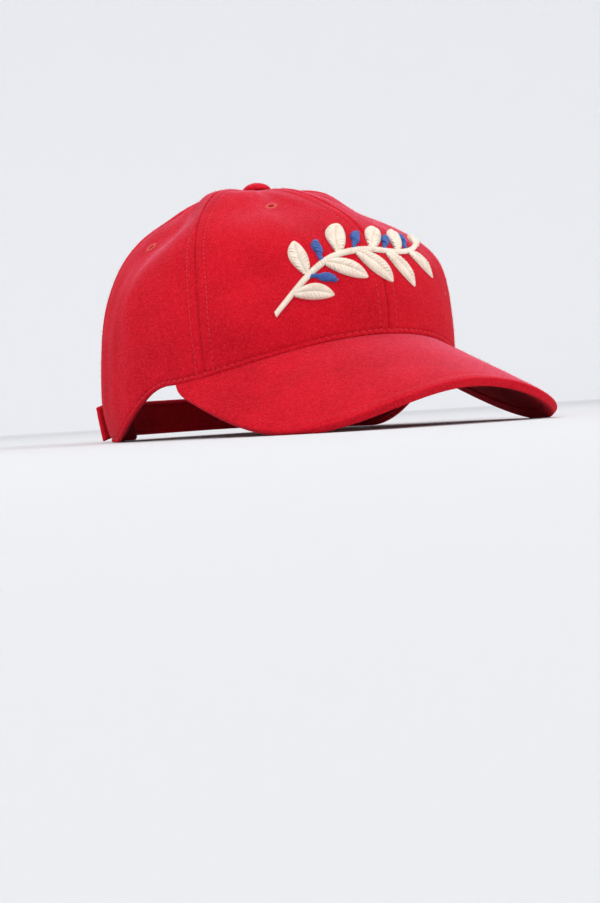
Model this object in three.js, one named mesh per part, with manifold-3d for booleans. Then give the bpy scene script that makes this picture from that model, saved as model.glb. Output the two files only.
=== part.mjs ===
// A six-panel baseball cap in melton wool, as it stands on a table: peak rim in front, lower edge behind.
// Millimetres, +Z up. The front faces -Y and the wearer's right hand is at -X.
import * as THREE from 'three';
import { mergeVertices } from 'three/addons/utils/BufferGeometryUtils.js';
import Module from 'manifold-3d';

const wasm = await Module();
wasm.setup();

const degree = Math.PI / 180;
const smallStep = 1e-3; // for slopes worked out from differences

// Cloth
const clothThickness = 2;
const seamGap = 0.3; // clearance between sewn pieces

// Crown, on the outside of the cloth
const openingHalfWidth = 86.7;
const openingHalfLength = 96.5;
const crownHeight = 123.7;
const topSetback = 8.5; // how far the top lies behind the middle of the opening
const topHoleRatio = 0.045; // the gores stop short of the top, at this share of the opening
const frontRoundness = { inward: 1.97, upward: 2.47 };
const backRoundness = { inward: 2.74, upward: 3 };
const belly = { depth: 2, topRise: 0.6 }; // slight swelling above the lower edge
const flattening = { depth: 0.118, rise: 0.61, span: 0.21, sharpness: 1.3, drop: 0.35, startRise: 0.2 };
const shoulder = { height: 2.6, rise: 0.8, span: 0.16, fullReach: 0.4, outward: 0.5, upward: 0.85 };
const shoulderWidth = { front: 18, back: 7 };
const rearTuck = { depth: 4, height: 22, from: 85 * degree, to: 115 * degree }; // drawn in by the strap

// Seams between the gores: angle from the front at the lower edge and at the top
const seams = {
  front: { edge: 0, top: 0 },
  frontSide: { edge: 59 * degree, top: 81 * degree },
  sideBack: { edge: 121 * degree, top: 130.5 * degree },
  back: { edge: 180 * degree, top: 180 * degree },
};
const seamSweep = 1.5; // how late the seams bend back on their way up
const gores = [
  { name: 'front', from: seams.front, to: seams.frontSide, eyelet: { angle: 31 * degree, rise: 0.65 } },
  { name: 'side', from: seams.frontSide, to: seams.sideBack, eyelet: { angle: 106 * degree, rise: 0.52 } },
  { name: 'back', from: seams.sideBack, to: seams.back, eyelet: { angle: 154 * degree, rise: 0.55 } },
];
const goreColumns = 10;
const goreRows = 13;
const rowCrowding = 1.4; // the rows lie closer towards the lower edge

// Lower edge: it sits on the peak in front, rises over the ears and lies flat behind
const peakCorner = 70 * degree; // where the peak ends at the lower edge
const seatEnd = 72 * degree; // the edge keeps the peak's line this far
const edgeDown = 108 * degree; // and has come down to the table here

// Peak
const peakHalfWidth = 83.1;
const peakLength = 126.5; // from the corners to the middle of the rim
const peakCornerY = -33;
const peakSquareness = 3.3;
const peakPitch = 20.5 * degree;
const peakBend = 100.5; // radius that the flat board is bent to
const upperThickness = 2.8;
const underThickness = 1.3;
const rimInset = 0.8; // the under cloth stops short of the rim
const peakColumns = 36;
const peakRows = 5;

// Back opening and strap
const archHalfWidth = 38;
const archHeight = 46;
const archSquareness = 2.2;
const archSteps = 20;
const archBelow = -10; // the cut starts below the lower edge
const archDepth = 96; // and passes well through the back
const strapWidth = 18;
const strapThickness = 2.6;
const strapLow = 3.2;
const strapRest = 1; // the flat strap bridges the curve of the crown, and touches it at mid width
const strapEnd = 146 * degree; // sewn end, on the wearer's left
const tailLength = 17;
const tailDroop = 2; // how far the tail's end hangs below the rest of the strap
const slideAngle = 148 * degree;
const slideLength = 6;
const slideWall = 1.2;
const strapLift = { from: 0.2, to: 0.8 }; // share of the span over which it rises onto the slide
const strapBends = 22;
const tailSteps = 3;

// Sweatband
const bandHeight = 27;
const bandThickness = 1.4;
const bandGap = 0.5;
const bandEnd = 150 * degree;
const bandRise = 1; // clear of the lower edge
const bandColumns = 50;
const bandRows = 3;

// Button and eyelets
const buttonProfile = [
  { radius: 0, height: 0 },
  { radius: 5.8, height: 0 },
  { radius: 6.9, height: 0.5 },
  { radius: 7.1, height: 1.5 },
  { radius: 6.5, height: 2.6 },
  { radius: 4.8, height: 3.5 },
  { radius: 2.6, height: 4 },
  { radius: 0, height: 4.15 },
];
const buttonSides = 20;
const eyeletBore = 1.3;
const eyeletCut = 2.1; // radius of the hole in the cloth
const eyeletCutDepth = 8;
const eyeletFlange = 3.4;
const eyeletRing = { slant: 0.3, shoulder: 0.5, crest: 0.8, mouth: 0.3 };
const eyeletSides = 12;

const mix = (a, b, share) => a + (b - a) * share;

function smoothStep(from, to, value) {
  const share = Math.min(Math.max((value - from) / (to - from), 0), 1);
  return share * share * (3 - 2 * share);
}

// Peak surface without its height: bent across, sloping down to the front
function peakForm(x, y) {
  const slope = Math.tan(peakPitch) * (openingHalfLength + y);
  const bend = peakBend - Math.sqrt(peakBend ** 2 - x ** 2);
  return slope - bend;
}

function peakNormal(x) {
  const across = x / Math.sqrt(peakBend ** 2 - x ** 2);
  return new THREE.Vector3(across, -Math.tan(peakPitch), 1).normalize();
}

function peakRim(turn, inset) {
  const size = (Math.abs(Math.sin(turn)) ** peakSquareness + Math.abs(Math.cos(turn)) ** peakSquareness)
    ** (-1 / peakSquareness);
  const x = (peakHalfWidth - inset) * Math.sin(turn) * size;
  const y = peakCornerY - (peakLength - inset) * Math.cos(turn) * size;
  return new THREE.Vector2(x, y);
}

const peakTurn = (column) => mix(-90, 90, column / peakColumns) * degree;

// The peak's front joint is as high as it takes for the lowest point of the rim to touch the table
const peakDepth = upperThickness + seamGap + underThickness;
const rimFeet = Array.from({ length: peakColumns + 1 }, (_, column) => {
  const rim = peakRim(peakTurn(column), rimInset);
  return peakForm(rim.x, rim.y) - peakNormal(rim.x).z * peakDepth;
});
const frontJointHeight = -Math.min(...rimFeet);

const peakTop = (x, y) => frontJointHeight + peakForm(x, y);

function edgeHeight(angle) {
  const around = Math.min(Math.abs(angle), seatEnd);
  const seat = peakTop(openingHalfWidth * Math.sin(around), -openingHalfLength * Math.cos(around)) + seamGap;
  return seat * (1 - smoothStep(seatEnd, edgeDown, Math.abs(angle)));
}

const seamAngle = (seam, rise) => mix(seam.edge, seam.top, rise ** seamSweep);

function roundness(angle) {
  const frontness = (1 + Math.cos(angle)) / 2;
  return {
    inward: mix(backRoundness.inward, frontRoundness.inward, frontness),
    upward: mix(backRoundness.upward, frontRoundness.upward, frontness),
  };
}

// Between two seams the cloth is flatter than the round of the crown
function flatness(angle, rise) {
  const around = Math.abs(angle);
  const gore = gores.find(({ to }) => around <= seamAngle(to, rise)) ?? gores.at(-1);
  const from = seamAngle(gore.from, rise);
  const across = Math.min(Math.max((around - from) / (seamAngle(gore.to, rise) - from), 0), 1);
  const height = Math.exp(-(((rise - flattening.rise) / flattening.span) ** 2));
  const start = Math.min(rise / flattening.startRise, 1);
  return flattening.depth * height * start * Math.sin(Math.PI * across) ** flattening.sharpness;
}

// The stiff front gores stand proud at their upper back seams
function shoulderHeight(angle, rise, reach) {
  const past = (Math.abs(angle) - seamAngle(seams.frontSide, rise)) * reach * openingHalfWidth;
  const width = past > 0 ? shoulderWidth.back : shoulderWidth.front;
  const height = Math.exp(-(((rise - shoulder.rise) / shoulder.span) ** 2));
  const nearTop = smoothStep(topHoleRatio, shoulder.fullReach, reach);
  return shoulder.height * height * nearTop * Math.exp(-((past / width) ** 2));
}

function tuckDepth(angle, height) {
  const low = Math.max(1 - height / rearTuck.height, 0);
  return rearTuck.depth * low ** 2 * smoothStep(rearTuck.from, rearTuck.to, Math.abs(angle));
}

// Outside of the crown: angle from the front, rise from the lower edge (0) to the top (1)
function crownPoint(angle, rise) {
  const round = roundness(angle);
  const turn = rise * 90 * degree;
  const reach = Math.cos(turn) ** (2 / round.inward);
  const lift = Math.sin(turn) ** (2 / round.upward);
  const flat = flatness(angle, rise);
  const proud = shoulderHeight(angle, rise, reach);
  const edge = edgeHeight(angle);
  const height = edge + (crownHeight - edge) * lift * (1 - flattening.drop * flat) + proud * shoulder.upward;
  const swell = belly.depth * Math.sin(Math.PI * Math.min(rise / belly.topRise, 1));
  const outward = swell + proud * shoulder.outward - tuckDepth(angle, height);
  const out = reach * (1 - flat) + outward / openingHalfLength;
  return new THREE.Vector3(
    openingHalfWidth * Math.sin(angle) * out,
    topSetback * (1 - reach) - openingHalfLength * Math.cos(angle) * out,
    height,
  );
}

function crownNormal(angle, rise) {
  const low = Math.max(rise - smallStep, 0);
  const along = crownPoint(angle + smallStep, rise).sub(crownPoint(angle - smallStep, rise));
  const up = crownPoint(angle, rise + smallStep).sub(crownPoint(angle, low));
  return along.cross(up).normalize();
}

function topRise(angle) {
  return Math.acos(topHoleRatio ** (roundness(angle).inward / 2)) / (90 * degree);
}

// Rise at which the crown is a given height above its lower edge
function riseAbove(angle, height) {
  const share = height / (crownHeight - edgeHeight(angle));
  return Math.asin(share ** (roundness(angle).upward / 2)) / (90 * degree);
}

function signedVolume(points, triangles) {
  let volume = 0;
  for (let i = 0; i < triangles.length; i += 3) {
    const [a, b, c] = [0, 1, 2].map((corner) => points[triangles[i + corner]]);
    volume += a.dot(b.clone().cross(c)) / 6;
  }
  return volume;
}

function meshGeometry(points, triangles) {
  if (signedVolume(points, triangles) < 0) triangles.reverse();
  const geometry = new THREE.BufferGeometry().setFromPoints(points);
  geometry.setIndex(triangles);
  return geometry;
}

// A closed wall between two grids of points that share their columns and rows
function wall(columns, rows, outside, inside) {
  const points = [];
  const layer = (columns + 1) * (rows + 1);
  for (const side of [outside, inside]) {
    for (let column = 0; column <= columns; column += 1) {
      for (let row = 0; row <= rows; row += 1) points.push(side(column, row));
    }
  }
  const triangles = [];
  const quad = (a, b, c, d) => triangles.push(a, b, c, a, c, d);
  const at = (column, row) => column * (rows + 1) + row;
  for (let column = 0; column < columns; column += 1) {
    for (let row = 0; row < rows; row += 1) {
      const corners = [at(column, row), at(column + 1, row), at(column + 1, row + 1), at(column, row + 1)];
      quad(...corners);
      quad(...corners.map((corner) => corner + layer).reverse());
    }
    quad(at(column, 0), at(column, 0) + layer, at(column + 1, 0) + layer, at(column + 1, 0));
    quad(at(column + 1, rows), at(column + 1, rows) + layer, at(column, rows) + layer, at(column, rows));
  }
  for (let row = 0; row < rows; row += 1) {
    quad(at(0, row + 1), at(0, row + 1) + layer, at(0, row) + layer, at(0, row));
    quad(at(columns, row), at(columns, row) + layer, at(columns, row + 1) + layer, at(columns, row + 1));
  }
  return meshGeometry(points, triangles);
}

function toSolid(geometry) {
  const bare = new THREE.BufferGeometry();
  bare.setAttribute('position', geometry.getAttribute('position').clone());
  bare.setIndex(geometry.getIndex());
  const merged = mergeVertices(bare);
  return new wasm.Manifold(new wasm.Mesh({
    numProp: 3,
    vertProperties: Float32Array.from(merged.getAttribute('position').array),
    triVerts: Uint32Array.from(merged.getIndex().array),
  }));
}

function toGeometry(solid) {
  const mesh = solid.getMesh();
  const geometry = new THREE.BufferGeometry();
  geometry.setAttribute('position', new THREE.BufferAttribute(mesh.vertProperties, 3));
  geometry.setIndex(new THREE.BufferAttribute(mesh.triVerts, 1));
  return geometry;
}

// Places a shape made round +Z on the crown, with +Z along the cloth's outward normal
function ontoCrown(geometry, angle, rise) {
  const up = new THREE.Vector3(0, 0, 1);
  const turn = new THREE.Quaternion().setFromUnitVectors(up, crownNormal(angle, rise));
  return geometry.applyQuaternion(turn).translate(...crownPoint(angle, rise));
}

function goreWall(gore, side) {
  const placeAt = (column, row) => {
    const across = column / goreColumns;
    const rise = (row / goreRows) ** rowCrowding * topRise(mix(gore.from.top, gore.to.top, across));
    const angle = side * mix(seamAngle(gore.from, rise), seamAngle(gore.to, rise), across);
    const normal = crownNormal(angle, rise);
    const ahead = crownPoint(angle + smallStep, rise);
    const stretch = ahead.distanceTo(crownPoint(angle - smallStep, rise)) / (2 * smallStep);
    const clear = (side * seamGap) / 2 / stretch;
    if (column === 0) return { angle: angle + clear, rise, normal };
    return { angle: column === goreColumns ? angle - clear : angle, rise, normal };
  };
  const outside = (column, row) => {
    const { angle, rise } = placeAt(column, row);
    return crownPoint(angle, rise);
  };
  const inside = (column, row) => {
    const { angle, rise, normal } = placeAt(column, row);
    const point = crownPoint(angle, rise).addScaledVector(normal, -clothThickness);
    if (row > 0) return point;
    const onPeak = Math.abs(angle) < seatEnd;
    point.z = onPeak ? peakTop(point.x, point.y) + seamGap : edgeHeight(angle);
    return point;
  };
  return wall(goreColumns, goreRows, outside, inside);
}

function archCutter() {
  const shape = new THREE.Shape();
  shape.moveTo(archHalfWidth, archBelow);
  for (let step = 0; step <= archSteps; step += 1) {
    const turn = (step / archSteps) * 180 * degree;
    const across = Math.sign(Math.cos(turn)) * Math.abs(Math.cos(turn)) ** (2 / archSquareness);
    shape.lineTo(archHalfWidth * across, archHeight * Math.sin(turn) ** (2 / archSquareness));
  }
  shape.lineTo(-archHalfWidth, archBelow);
  const cutter = new THREE.ExtrudeGeometry(shape, { depth: archDepth, bevelEnabled: false });
  return cutter.rotateX(90 * degree).translate(0, openingHalfLength + archDepth / 2, 0);
}

function goreGeometry(gore, side) {
  const cutter = new THREE.CylinderGeometry(eyeletCut, eyeletCut, eyeletCutDepth, eyeletSides);
  const hole = ontoCrown(cutter.rotateX(90 * degree), side * gore.eyelet.angle, gore.eyelet.rise);
  let solid = toSolid(goreWall(gore, side)).subtract(toSolid(hole));
  if (gore.name === 'back') solid = solid.subtract(toSolid(archCutter()));
  return toGeometry(solid);
}

function eyeletGeometry(gore, side) {
  const tube = eyeletCut - seamGap;
  const profile = [
    new THREE.Vector2(eyeletBore, -clothThickness),
    new THREE.Vector2(tube, -clothThickness),
    new THREE.Vector2(tube, seamGap),
    new THREE.Vector2(eyeletFlange, seamGap),
    new THREE.Vector2(eyeletFlange - eyeletRing.slant, seamGap + eyeletRing.shoulder),
    new THREE.Vector2(tube, seamGap + eyeletRing.crest),
    new THREE.Vector2(eyeletBore, seamGap + eyeletRing.mouth),
    new THREE.Vector2(eyeletBore, -clothThickness),
  ];
  const ring = new THREE.LatheGeometry(profile, eyeletSides).rotateX(90 * degree);
  return ontoCrown(ring, side * gore.eyelet.angle, gore.eyelet.rise);
}

function buttonGeometry() {
  const profile = buttonProfile.map(({ radius, height }) => new THREE.Vector2(radius, height));
  const dome = new THREE.LatheGeometry(profile, buttonSides).rotateX(90 * degree);
  return dome.translate(0, topSetback, crownHeight + seamGap);
}

// Plan position on the peak: share 0 at the inside of the crown's cloth, 1 at the rim
function peakPlan(column, share, inset) {
  const turn = peakTurn(column);
  const angle = (turn / (90 * degree)) * peakCorner;
  const root = new THREE.Vector2(
    (openingHalfWidth - clothThickness) * Math.sin(angle),
    -(openingHalfLength - clothThickness) * Math.cos(angle),
  );
  return root.lerp(peakRim(turn, inset), share);
}

function peakLayer(depth, thickness, inset) {
  const surface = (level) => (column, row) => {
    const { x, y } = peakPlan(column, row / peakRows, inset);
    const normal = peakNormal(x);
    if (row === 0) normal.set(0, 0, 1 / normal.z); // upright where it is sewn to the crown
    return new THREE.Vector3(x, y, peakTop(x, y)).addScaledVector(normal, -level);
  };
  return wall(peakColumns, peakRows, surface(depth), surface(depth + thickness));
}

function sweatbandGeometry() {
  const surface = (depth) => (column, row) => {
    const angle = mix(-bandEnd, bandEnd, column / bandColumns);
    const rise = riseAbove(angle, mix(bandRise, bandHeight, row / bandRows));
    return crownPoint(angle, rise).addScaledVector(crownNormal(angle, rise), -depth);
  };
  const outside = clothThickness + bandGap;
  return wall(bandColumns, bandRows, surface(outside), surface(outside + bandThickness));
}

// Strap: it leaves its sewn end on the wearer's left, passes the slide and ends in a straight free tail
const strapSeat = strapRest + slideWall + seamGap; // clearance under the strap at the slide
const strapSpan = 2 * (180 * degree) - strapEnd - slideAngle;

function strapPoint(share, across, depth) {
  const angle = strapEnd + strapSpan * share;
  const lift = mix(strapRest, strapSeat, smoothStep(strapLift.from, strapLift.to, share));
  const outward = crownNormal(angle, riseAbove(angle, strapLow + strapWidth / 2));
  const at = (height) => crownPoint(angle, riseAbove(angle, height));
  return at(strapLow).lerp(at(strapLow + strapWidth), across).addScaledVector(outward, lift + depth);
}

function tailDirection() {
  return strapPoint(1, 0.5, 0).sub(strapPoint(1 - smallStep, 0.5, 0)).setZ(0).normalize();
}

function strapGeometry() {
  const along = tailDirection();
  const surface = (depth) => (column, row) => {
    const past = Math.max(column - strapBends, 0) / tailSteps;
    const point = strapPoint(Math.min(column / strapBends, 1), row, depth);
    point.z -= tailDroop * past ** 2;
    return point.addScaledVector(along, past * (tailLength + slideLength / 2));
  };
  return wall(strapBends + tailSteps, 1, surface(strapThickness), surface(0));
}

function rectangle(shape, halfWidth, halfHeight) {
  shape.moveTo(-halfWidth, -halfHeight);
  shape.lineTo(halfWidth, -halfHeight);
  shape.lineTo(halfWidth, halfHeight);
  shape.lineTo(-halfWidth, halfHeight);
  shape.closePath();
  return shape;
}

function slideGeometry() {
  const passHalfThickness = strapThickness / 2 + seamGap;
  const passHalfWidth = strapWidth / 2 + seamGap;
  const frame = rectangle(new THREE.Shape(), passHalfThickness + slideWall, passHalfWidth + slideWall);
  frame.holes.push(rectangle(new THREE.Path(), passHalfThickness, passHalfWidth));
  const ring = new THREE.ExtrudeGeometry(frame, { depth: slideLength, bevelEnabled: false });
  ring.translate(0, 0, -slideLength / 2);
  const along = tailDirection();
  const low = strapPoint(1, 0, strapThickness / 2);
  const high = strapPoint(1, 1, strapThickness / 2);
  const up = high.clone().sub(low).normalize();
  const out = up.clone().cross(along).normalize();
  const place = new THREE.Matrix4().makeBasis(out, up, along);
  place.setPosition(low.add(high).multiplyScalar(0.5));
  return ring.applyMatrix4(place);
}

function piece(name, geometry, material) {
  const mesh = new THREE.Mesh(geometry, material);
  mesh.name = name;
  return mesh;
}

const cloth = (color) => new THREE.MeshStandardMaterial({ color, roughness: 0.95, metalness: 0 });
const clothRed = 0xcf2436;
const underRed = 0xb71d2d;
const threadRed = 0xe05248;
const bandRed = 0xa81a28;

const cap = new THREE.Group();
for (const gore of gores) {
  for (const [hand, side] of [['right', -1], ['left', 1]]) {
    cap.add(piece(`${gore.name}_panel_${hand}`, goreGeometry(gore, side), cloth(clothRed)));
    cap.add(piece(`eyelet_${gore.name}_${hand}`, eyeletGeometry(gore, side), cloth(threadRed)));
  }
}
cap.add(piece('top_button', buttonGeometry(), cloth(clothRed)));
cap.add(piece('peak_upper', peakLayer(0, upperThickness, 0), cloth(clothRed)));
cap.add(piece('peak_under', peakLayer(upperThickness + seamGap, underThickness, rimInset), cloth(underRed)));
cap.add(piece('sweatband', sweatbandGeometry(), cloth(bandRed)));
cap.add(piece('back_strap', strapGeometry(), cloth(clothRed)));
const slideMetal = new THREE.MeshStandardMaterial({ color: 0x9a8458, roughness: 0.4, metalness: 0.9 });
cap.add(piece('strap_slide', slideGeometry(), slideMetal));

// The origin lies on the table, under the middle of the cap's box
const box = new THREE.Box3().setFromObject(cap);
cap.position.y = -(box.min.y + box.max.y) / 2;

export default cap;
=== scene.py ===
import math

import bpy
import numpy as np
from mathutils import Matrix, Vector


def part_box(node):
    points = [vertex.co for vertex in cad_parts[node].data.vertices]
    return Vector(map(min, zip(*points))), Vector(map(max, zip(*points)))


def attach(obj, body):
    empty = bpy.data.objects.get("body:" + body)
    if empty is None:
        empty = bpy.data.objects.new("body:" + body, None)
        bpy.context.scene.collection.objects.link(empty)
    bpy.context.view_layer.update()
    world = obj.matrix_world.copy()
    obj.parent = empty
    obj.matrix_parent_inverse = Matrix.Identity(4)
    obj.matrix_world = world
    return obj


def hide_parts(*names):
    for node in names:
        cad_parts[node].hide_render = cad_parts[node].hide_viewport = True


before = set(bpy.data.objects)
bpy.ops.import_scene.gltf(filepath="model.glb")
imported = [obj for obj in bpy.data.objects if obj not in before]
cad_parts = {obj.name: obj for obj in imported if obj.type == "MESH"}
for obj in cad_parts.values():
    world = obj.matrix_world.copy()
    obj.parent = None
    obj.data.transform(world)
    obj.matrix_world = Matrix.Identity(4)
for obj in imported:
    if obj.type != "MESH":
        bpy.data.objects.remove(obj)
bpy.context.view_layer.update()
print("frame loaded,", len(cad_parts), "solids")

mm = 0.001  # shapes are worked out in millimetres, round the middle of the head opening
smallStep = 1e-3
tableGap = 0.02


def mix(a, b, share):
    return a + (b - a) * share


def smoothStep(low, high, value):
    share = np.clip((value - low) / (high - low), 0, 1)
    return share * share * (3 - 2 * share)


def hump(value, middle, width):
    return np.exp(-(((value - middle) / width) ** 2))


def unit(vectors):
    return vectors / np.linalg.norm(vectors, axis=-1, keepdims=True)


def runLength(points):
    steps = np.linalg.norm(np.diff(points, axis=0), axis=1)
    return np.concatenate([[0], np.cumsum(steps)])


def fullTurn(count):
    return np.linspace(0, 2 * math.pi, count, endpoint=False)


# Forms shared by several pieces, with the sizes of the frame

clothThickness = 2.0
seamGap = 0.3
crown = {
    "halfWidth": 86.7,
    "halfLength": 96.5,
    "height": 123.7,
    "topSetback": 8.5,
    "topHole": 0.045,
    "inward": (2.74, 1.97),  # roundness at the back and at the front
    "upward": (3.0, 2.47),
    "bellyDepth": 2.0,
    "bellyTop": 0.6,
    "tuckDepth": 4.0,
    "tuckHeight": 22.0,
    "tuckAngles": (85, 115),
    "seatEnd": 72,
    "edgeDown": 108,
}
flattening = {"depth": 0.118, "rise": 0.61, "span": 0.21, "sharpness": 1.3, "drop": 0.35, "start": 0.2}
shoulder = {
    "height": 2.6,
    "rise": 0.8,
    "span": 0.16,
    "reach": 0.4,
    "front": 18,
    "back": 15,
    "out": 0.5,
    "up": 0.85,
}
seamAngles = {"front": (0, 0), "frontSide": (59, 81), "sideBack": (121, 130.5), "back": (180, 180)}
seamSweep = 1.5
gores = [
    {"name": "front", "from": "front", "to": "frontSide", "eyelet": (31, 0.65)},
    {"name": "side", "from": "frontSide", "to": "sideBack", "eyelet": (106, 0.52)},
    {"name": "back", "from": "sideBack", "to": "back", "eyelet": (154, 0.55)},
]
hands = {"right": -1, "left": 1}
peak = {
    "halfWidth": 83.1,
    "length": 126.5,
    "cornerY": -33,
    "squareness": 3.3,
    "slope": math.tan(math.radians(20.5)),
    "bend": 100.5,
    "corner": 70,
    "upper": 2.8,
    "under": 1.3,
    "rimInset": 0.8,
    "columns": 216,
    "footSamples": 37,
}
buttonLow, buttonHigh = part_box("top_button")
ringY = (buttonLow.y + buttonHigh.y) / 2 - crown["topSetback"] * mm  # the opening's middle in the frame


def toRow(points):
    return points * mm + np.array([0, ringY, 0])


def peakForm(x, y):
    return peak["slope"] * (crown["halfLength"] + y) - (peak["bend"] - np.sqrt(peak["bend"] ** 2 - x**2))


def peakNormal(x):
    across = x / np.sqrt(peak["bend"] ** 2 - x**2)
    return unit(np.stack([across, np.full_like(across, -peak["slope"]), np.ones_like(across)], -1))


def peakRim(turn, inset):
    power = peak["squareness"]
    size = (np.abs(np.sin(turn)) ** power + np.abs(np.cos(turn)) ** power) ** (-1 / power)
    x = (peak["halfWidth"] - inset) * np.sin(turn) * size
    return x, peak["cornerY"] - (peak["length"] - inset) * np.cos(turn) * size


peakDepth = peak["upper"] + seamGap + peak["under"]
feetX, feetY = peakRim(np.radians(np.linspace(-90, 90, peak["footSamples"])), peak["rimInset"])
jointHeight = -(peakForm(feetX, feetY) - peakNormal(feetX)[:, 2] * peakDepth).min()


def peakTop(x, y):
    return jointHeight + peakForm(x, y)


def edgeHeight(angle):
    seatEnd, edgeDown = math.radians(crown["seatEnd"]), math.radians(crown["edgeDown"])
    around = np.minimum(np.abs(angle), seatEnd)
    seat = peakTop(crown["halfWidth"] * np.sin(around), -crown["halfLength"] * np.cos(around)) + seamGap
    return seat * (1 - smoothStep(seatEnd, edgeDown, np.abs(angle)))


def seamAngle(seam, rise):
    low, top = seamAngles[seam]
    return np.radians(mix(low, top, np.maximum(rise, 0) ** seamSweep))


def goreFlatness(angle, rise):
    around = np.abs(angle)
    curve = np.zeros(np.broadcast(around, rise).shape)
    for gore in gores:
        low, high = seamAngle(gore["from"], rise), seamAngle(gore["to"], rise)
        across = np.clip((around - low) / (high - low), 0, 1)
        curve = np.maximum(curve, np.sin(np.pi * across).clip(0) ** flattening["sharpness"])
    level = hump(rise, flattening["rise"], flattening["span"]) * np.clip(rise / flattening["start"], 0, 1)
    return flattening["depth"] * level * curve


def shoulderHeight(angle, rise, reach):
    past = (np.abs(angle) - seamAngle("frontSide", rise)) * reach * crown["halfWidth"]
    width = np.where(past > 0, shoulder["back"], shoulder["front"])
    nearTop = smoothStep(crown["topHole"], shoulder["reach"], reach)
    level = shoulder["height"] * hump(rise, shoulder["rise"], shoulder["span"])
    return level * nearTop * hump(past, 0, width)


def crownRoundness(angle):
    frontness = (1 + np.cos(angle)) / 2
    return mix(*crown["inward"], frontness), mix(*crown["upward"], frontness)


# Outside of the crown: angle from the front, rise from the lower edge (0) to the top (1)
def crownPoint(angle, rise):
    angle, rise = np.broadcast_arrays(np.asarray(angle, float), np.asarray(rise, float))
    inward, upward = crownRoundness(angle)
    reach = np.cos(rise * math.pi / 2).clip(0) ** (2 / inward)
    lift = np.sin(rise * math.pi / 2).clip(0) ** (2 / upward)
    flat = goreFlatness(angle, rise)
    proud = shoulderHeight(angle, rise, reach)
    edge = edgeHeight(angle)
    height = edge + (crown["height"] - edge) * lift * (1 - flattening["drop"] * flat) + proud * shoulder["up"]
    swell = crown["bellyDepth"] * np.sin(np.pi * np.minimum(rise / crown["bellyTop"], 1))
    low = np.maximum(1 - height / crown["tuckHeight"], 0)
    tuck = crown["tuckDepth"] * low**2 * smoothStep(*np.radians(crown["tuckAngles"]), np.abs(angle))
    out = reach * (1 - flat) + (swell + proud * shoulder["out"] - tuck) / crown["halfLength"]
    x = crown["halfWidth"] * np.sin(angle) * out
    y = crown["topSetback"] * (1 - reach) - crown["halfLength"] * np.cos(angle) * out
    return np.stack([x, y, height], -1)


# Point, outward normal and millimetres per radian round the crown
def crownFrame(angle, rise):
    along = crownPoint(angle + smallStep, rise) - crownPoint(angle - smallStep, rise)
    up = crownPoint(angle, rise + smallStep) - crownPoint(angle, np.maximum(rise - smallStep, 0))
    stretch = np.linalg.norm(along, axis=-1) / (2 * smallStep)
    return crownPoint(angle, rise), unit(np.cross(along, up)), stretch


def riseAbove(angle, height):
    share = height / (crown["height"] - edgeHeight(angle))
    return np.arcsin(share ** (crownRoundness(angle)[1] / 2)) / (math.pi / 2)


# Meshes

def addObject(name, data):
    added = bpy.data.objects.new(name, data)
    bpy.context.scene.collection.objects.link(added)
    return added


# A piece's place in the frame: its body, and the solid it stands for, which is hidden
def enter(piece, node=None):
    if node:
        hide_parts(node)
    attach(piece, "root")


def signedVolume(points, faces):
    a, b, c, d = (points[faces[:, corner]] for corner in range(4))
    return np.sum(a * np.cross(b, c)) + np.sum(a * np.cross(c, d))


def newPiece(name, points, faces, material):
    used, order = np.unique(faces, return_inverse=True)
    points = points[used]
    faces = order.reshape(faces.shape)
    if signedVolume(points, faces) < 0:
        faces = faces[:, ::-1]
    mesh = bpy.data.meshes.new(name)
    mesh.from_pydata(toRow(points).tolist(), [], faces.tolist())
    mesh.shade_smooth()
    mesh.materials.append(material)
    return addObject(name, mesh)


# Walls round a hole: cells on the outer side, each with its partner on the inner side
def holeFaces(index, cells):
    ring = index.shape[1]
    faces = []
    for column, row in cells:
        sides = {
            (column - 1, row): ((column, row + 1), (column, row)),
            (column + 1, row): ((column + 1, row), (column + 1, row + 1)),
            (column, row - 1): ((column, row), (column + 1, row)),
            (column, row + 1): ((column + 1, row + 1), (column, row + 1)),
        }
        for neighbour, (a, b) in sides.items():
            if neighbour not in cells:
                partners = [(c, ring - 1 - r) for c, r in (b, a)]
                faces.append([index[place] for place in (a, b, *partners)])
    return np.array(faces)


# A closed body through rings of points. In each ring, point i faces point -1-i across the wall.
def loft(name, rings, material, closedRun=False, hole=()):
    columns, ring = rings.shape[:2]
    index = np.arange(columns * ring).reshape(columns, ring)
    here = index if closedRun else index[:-1]
    there = np.roll(index, -1, 0) if closedRun else index[1:]
    quads = np.stack([here, there, np.roll(there, -1, 1), np.roll(here, -1, 1)], -1)
    kept = np.ones(quads.shape[:2], bool)
    for column, row in hole:
        kept[column, row] = kept[column, ring - 2 - row] = False
    faces = [quads[kept]]
    if hole:
        faces.append(holeFaces(index, hole))
    if not closedRun:
        i = np.arange(ring // 2 - 1)
        first, last = index[0], index[-1]
        faces.append(np.stack([first[i], first[i + 1], first[ring - 2 - i], first[ring - 1 - i]], -1))
        faces.append(np.stack([last[i], last[ring - 1 - i], last[ring - 2 - i], last[i + 1]], -1))
    return newPiece(name, rings.reshape(-1, 3), np.concatenate(faces), material)


# Rounded edge from the outer to the inner side of a sheet
def rolledEdge(outer, normal, edgeOut, thickness, steps, reach=None):
    half = thickness / 2
    reach = half if reach is None else reach
    middle = outer - normal * half
    turns = np.linspace(0, math.pi, steps + 2)[1:-1]
    return np.stack([middle + normal * half * math.cos(t) + edgeOut * reach * math.sin(t) for t in turns], 1)


# Node trees

def connect(tree, socket, source):
    if isinstance(source, bpy.types.NodeSocket):
        tree.links.new(source, socket)
    else:
        socket.default_value = source


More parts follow.
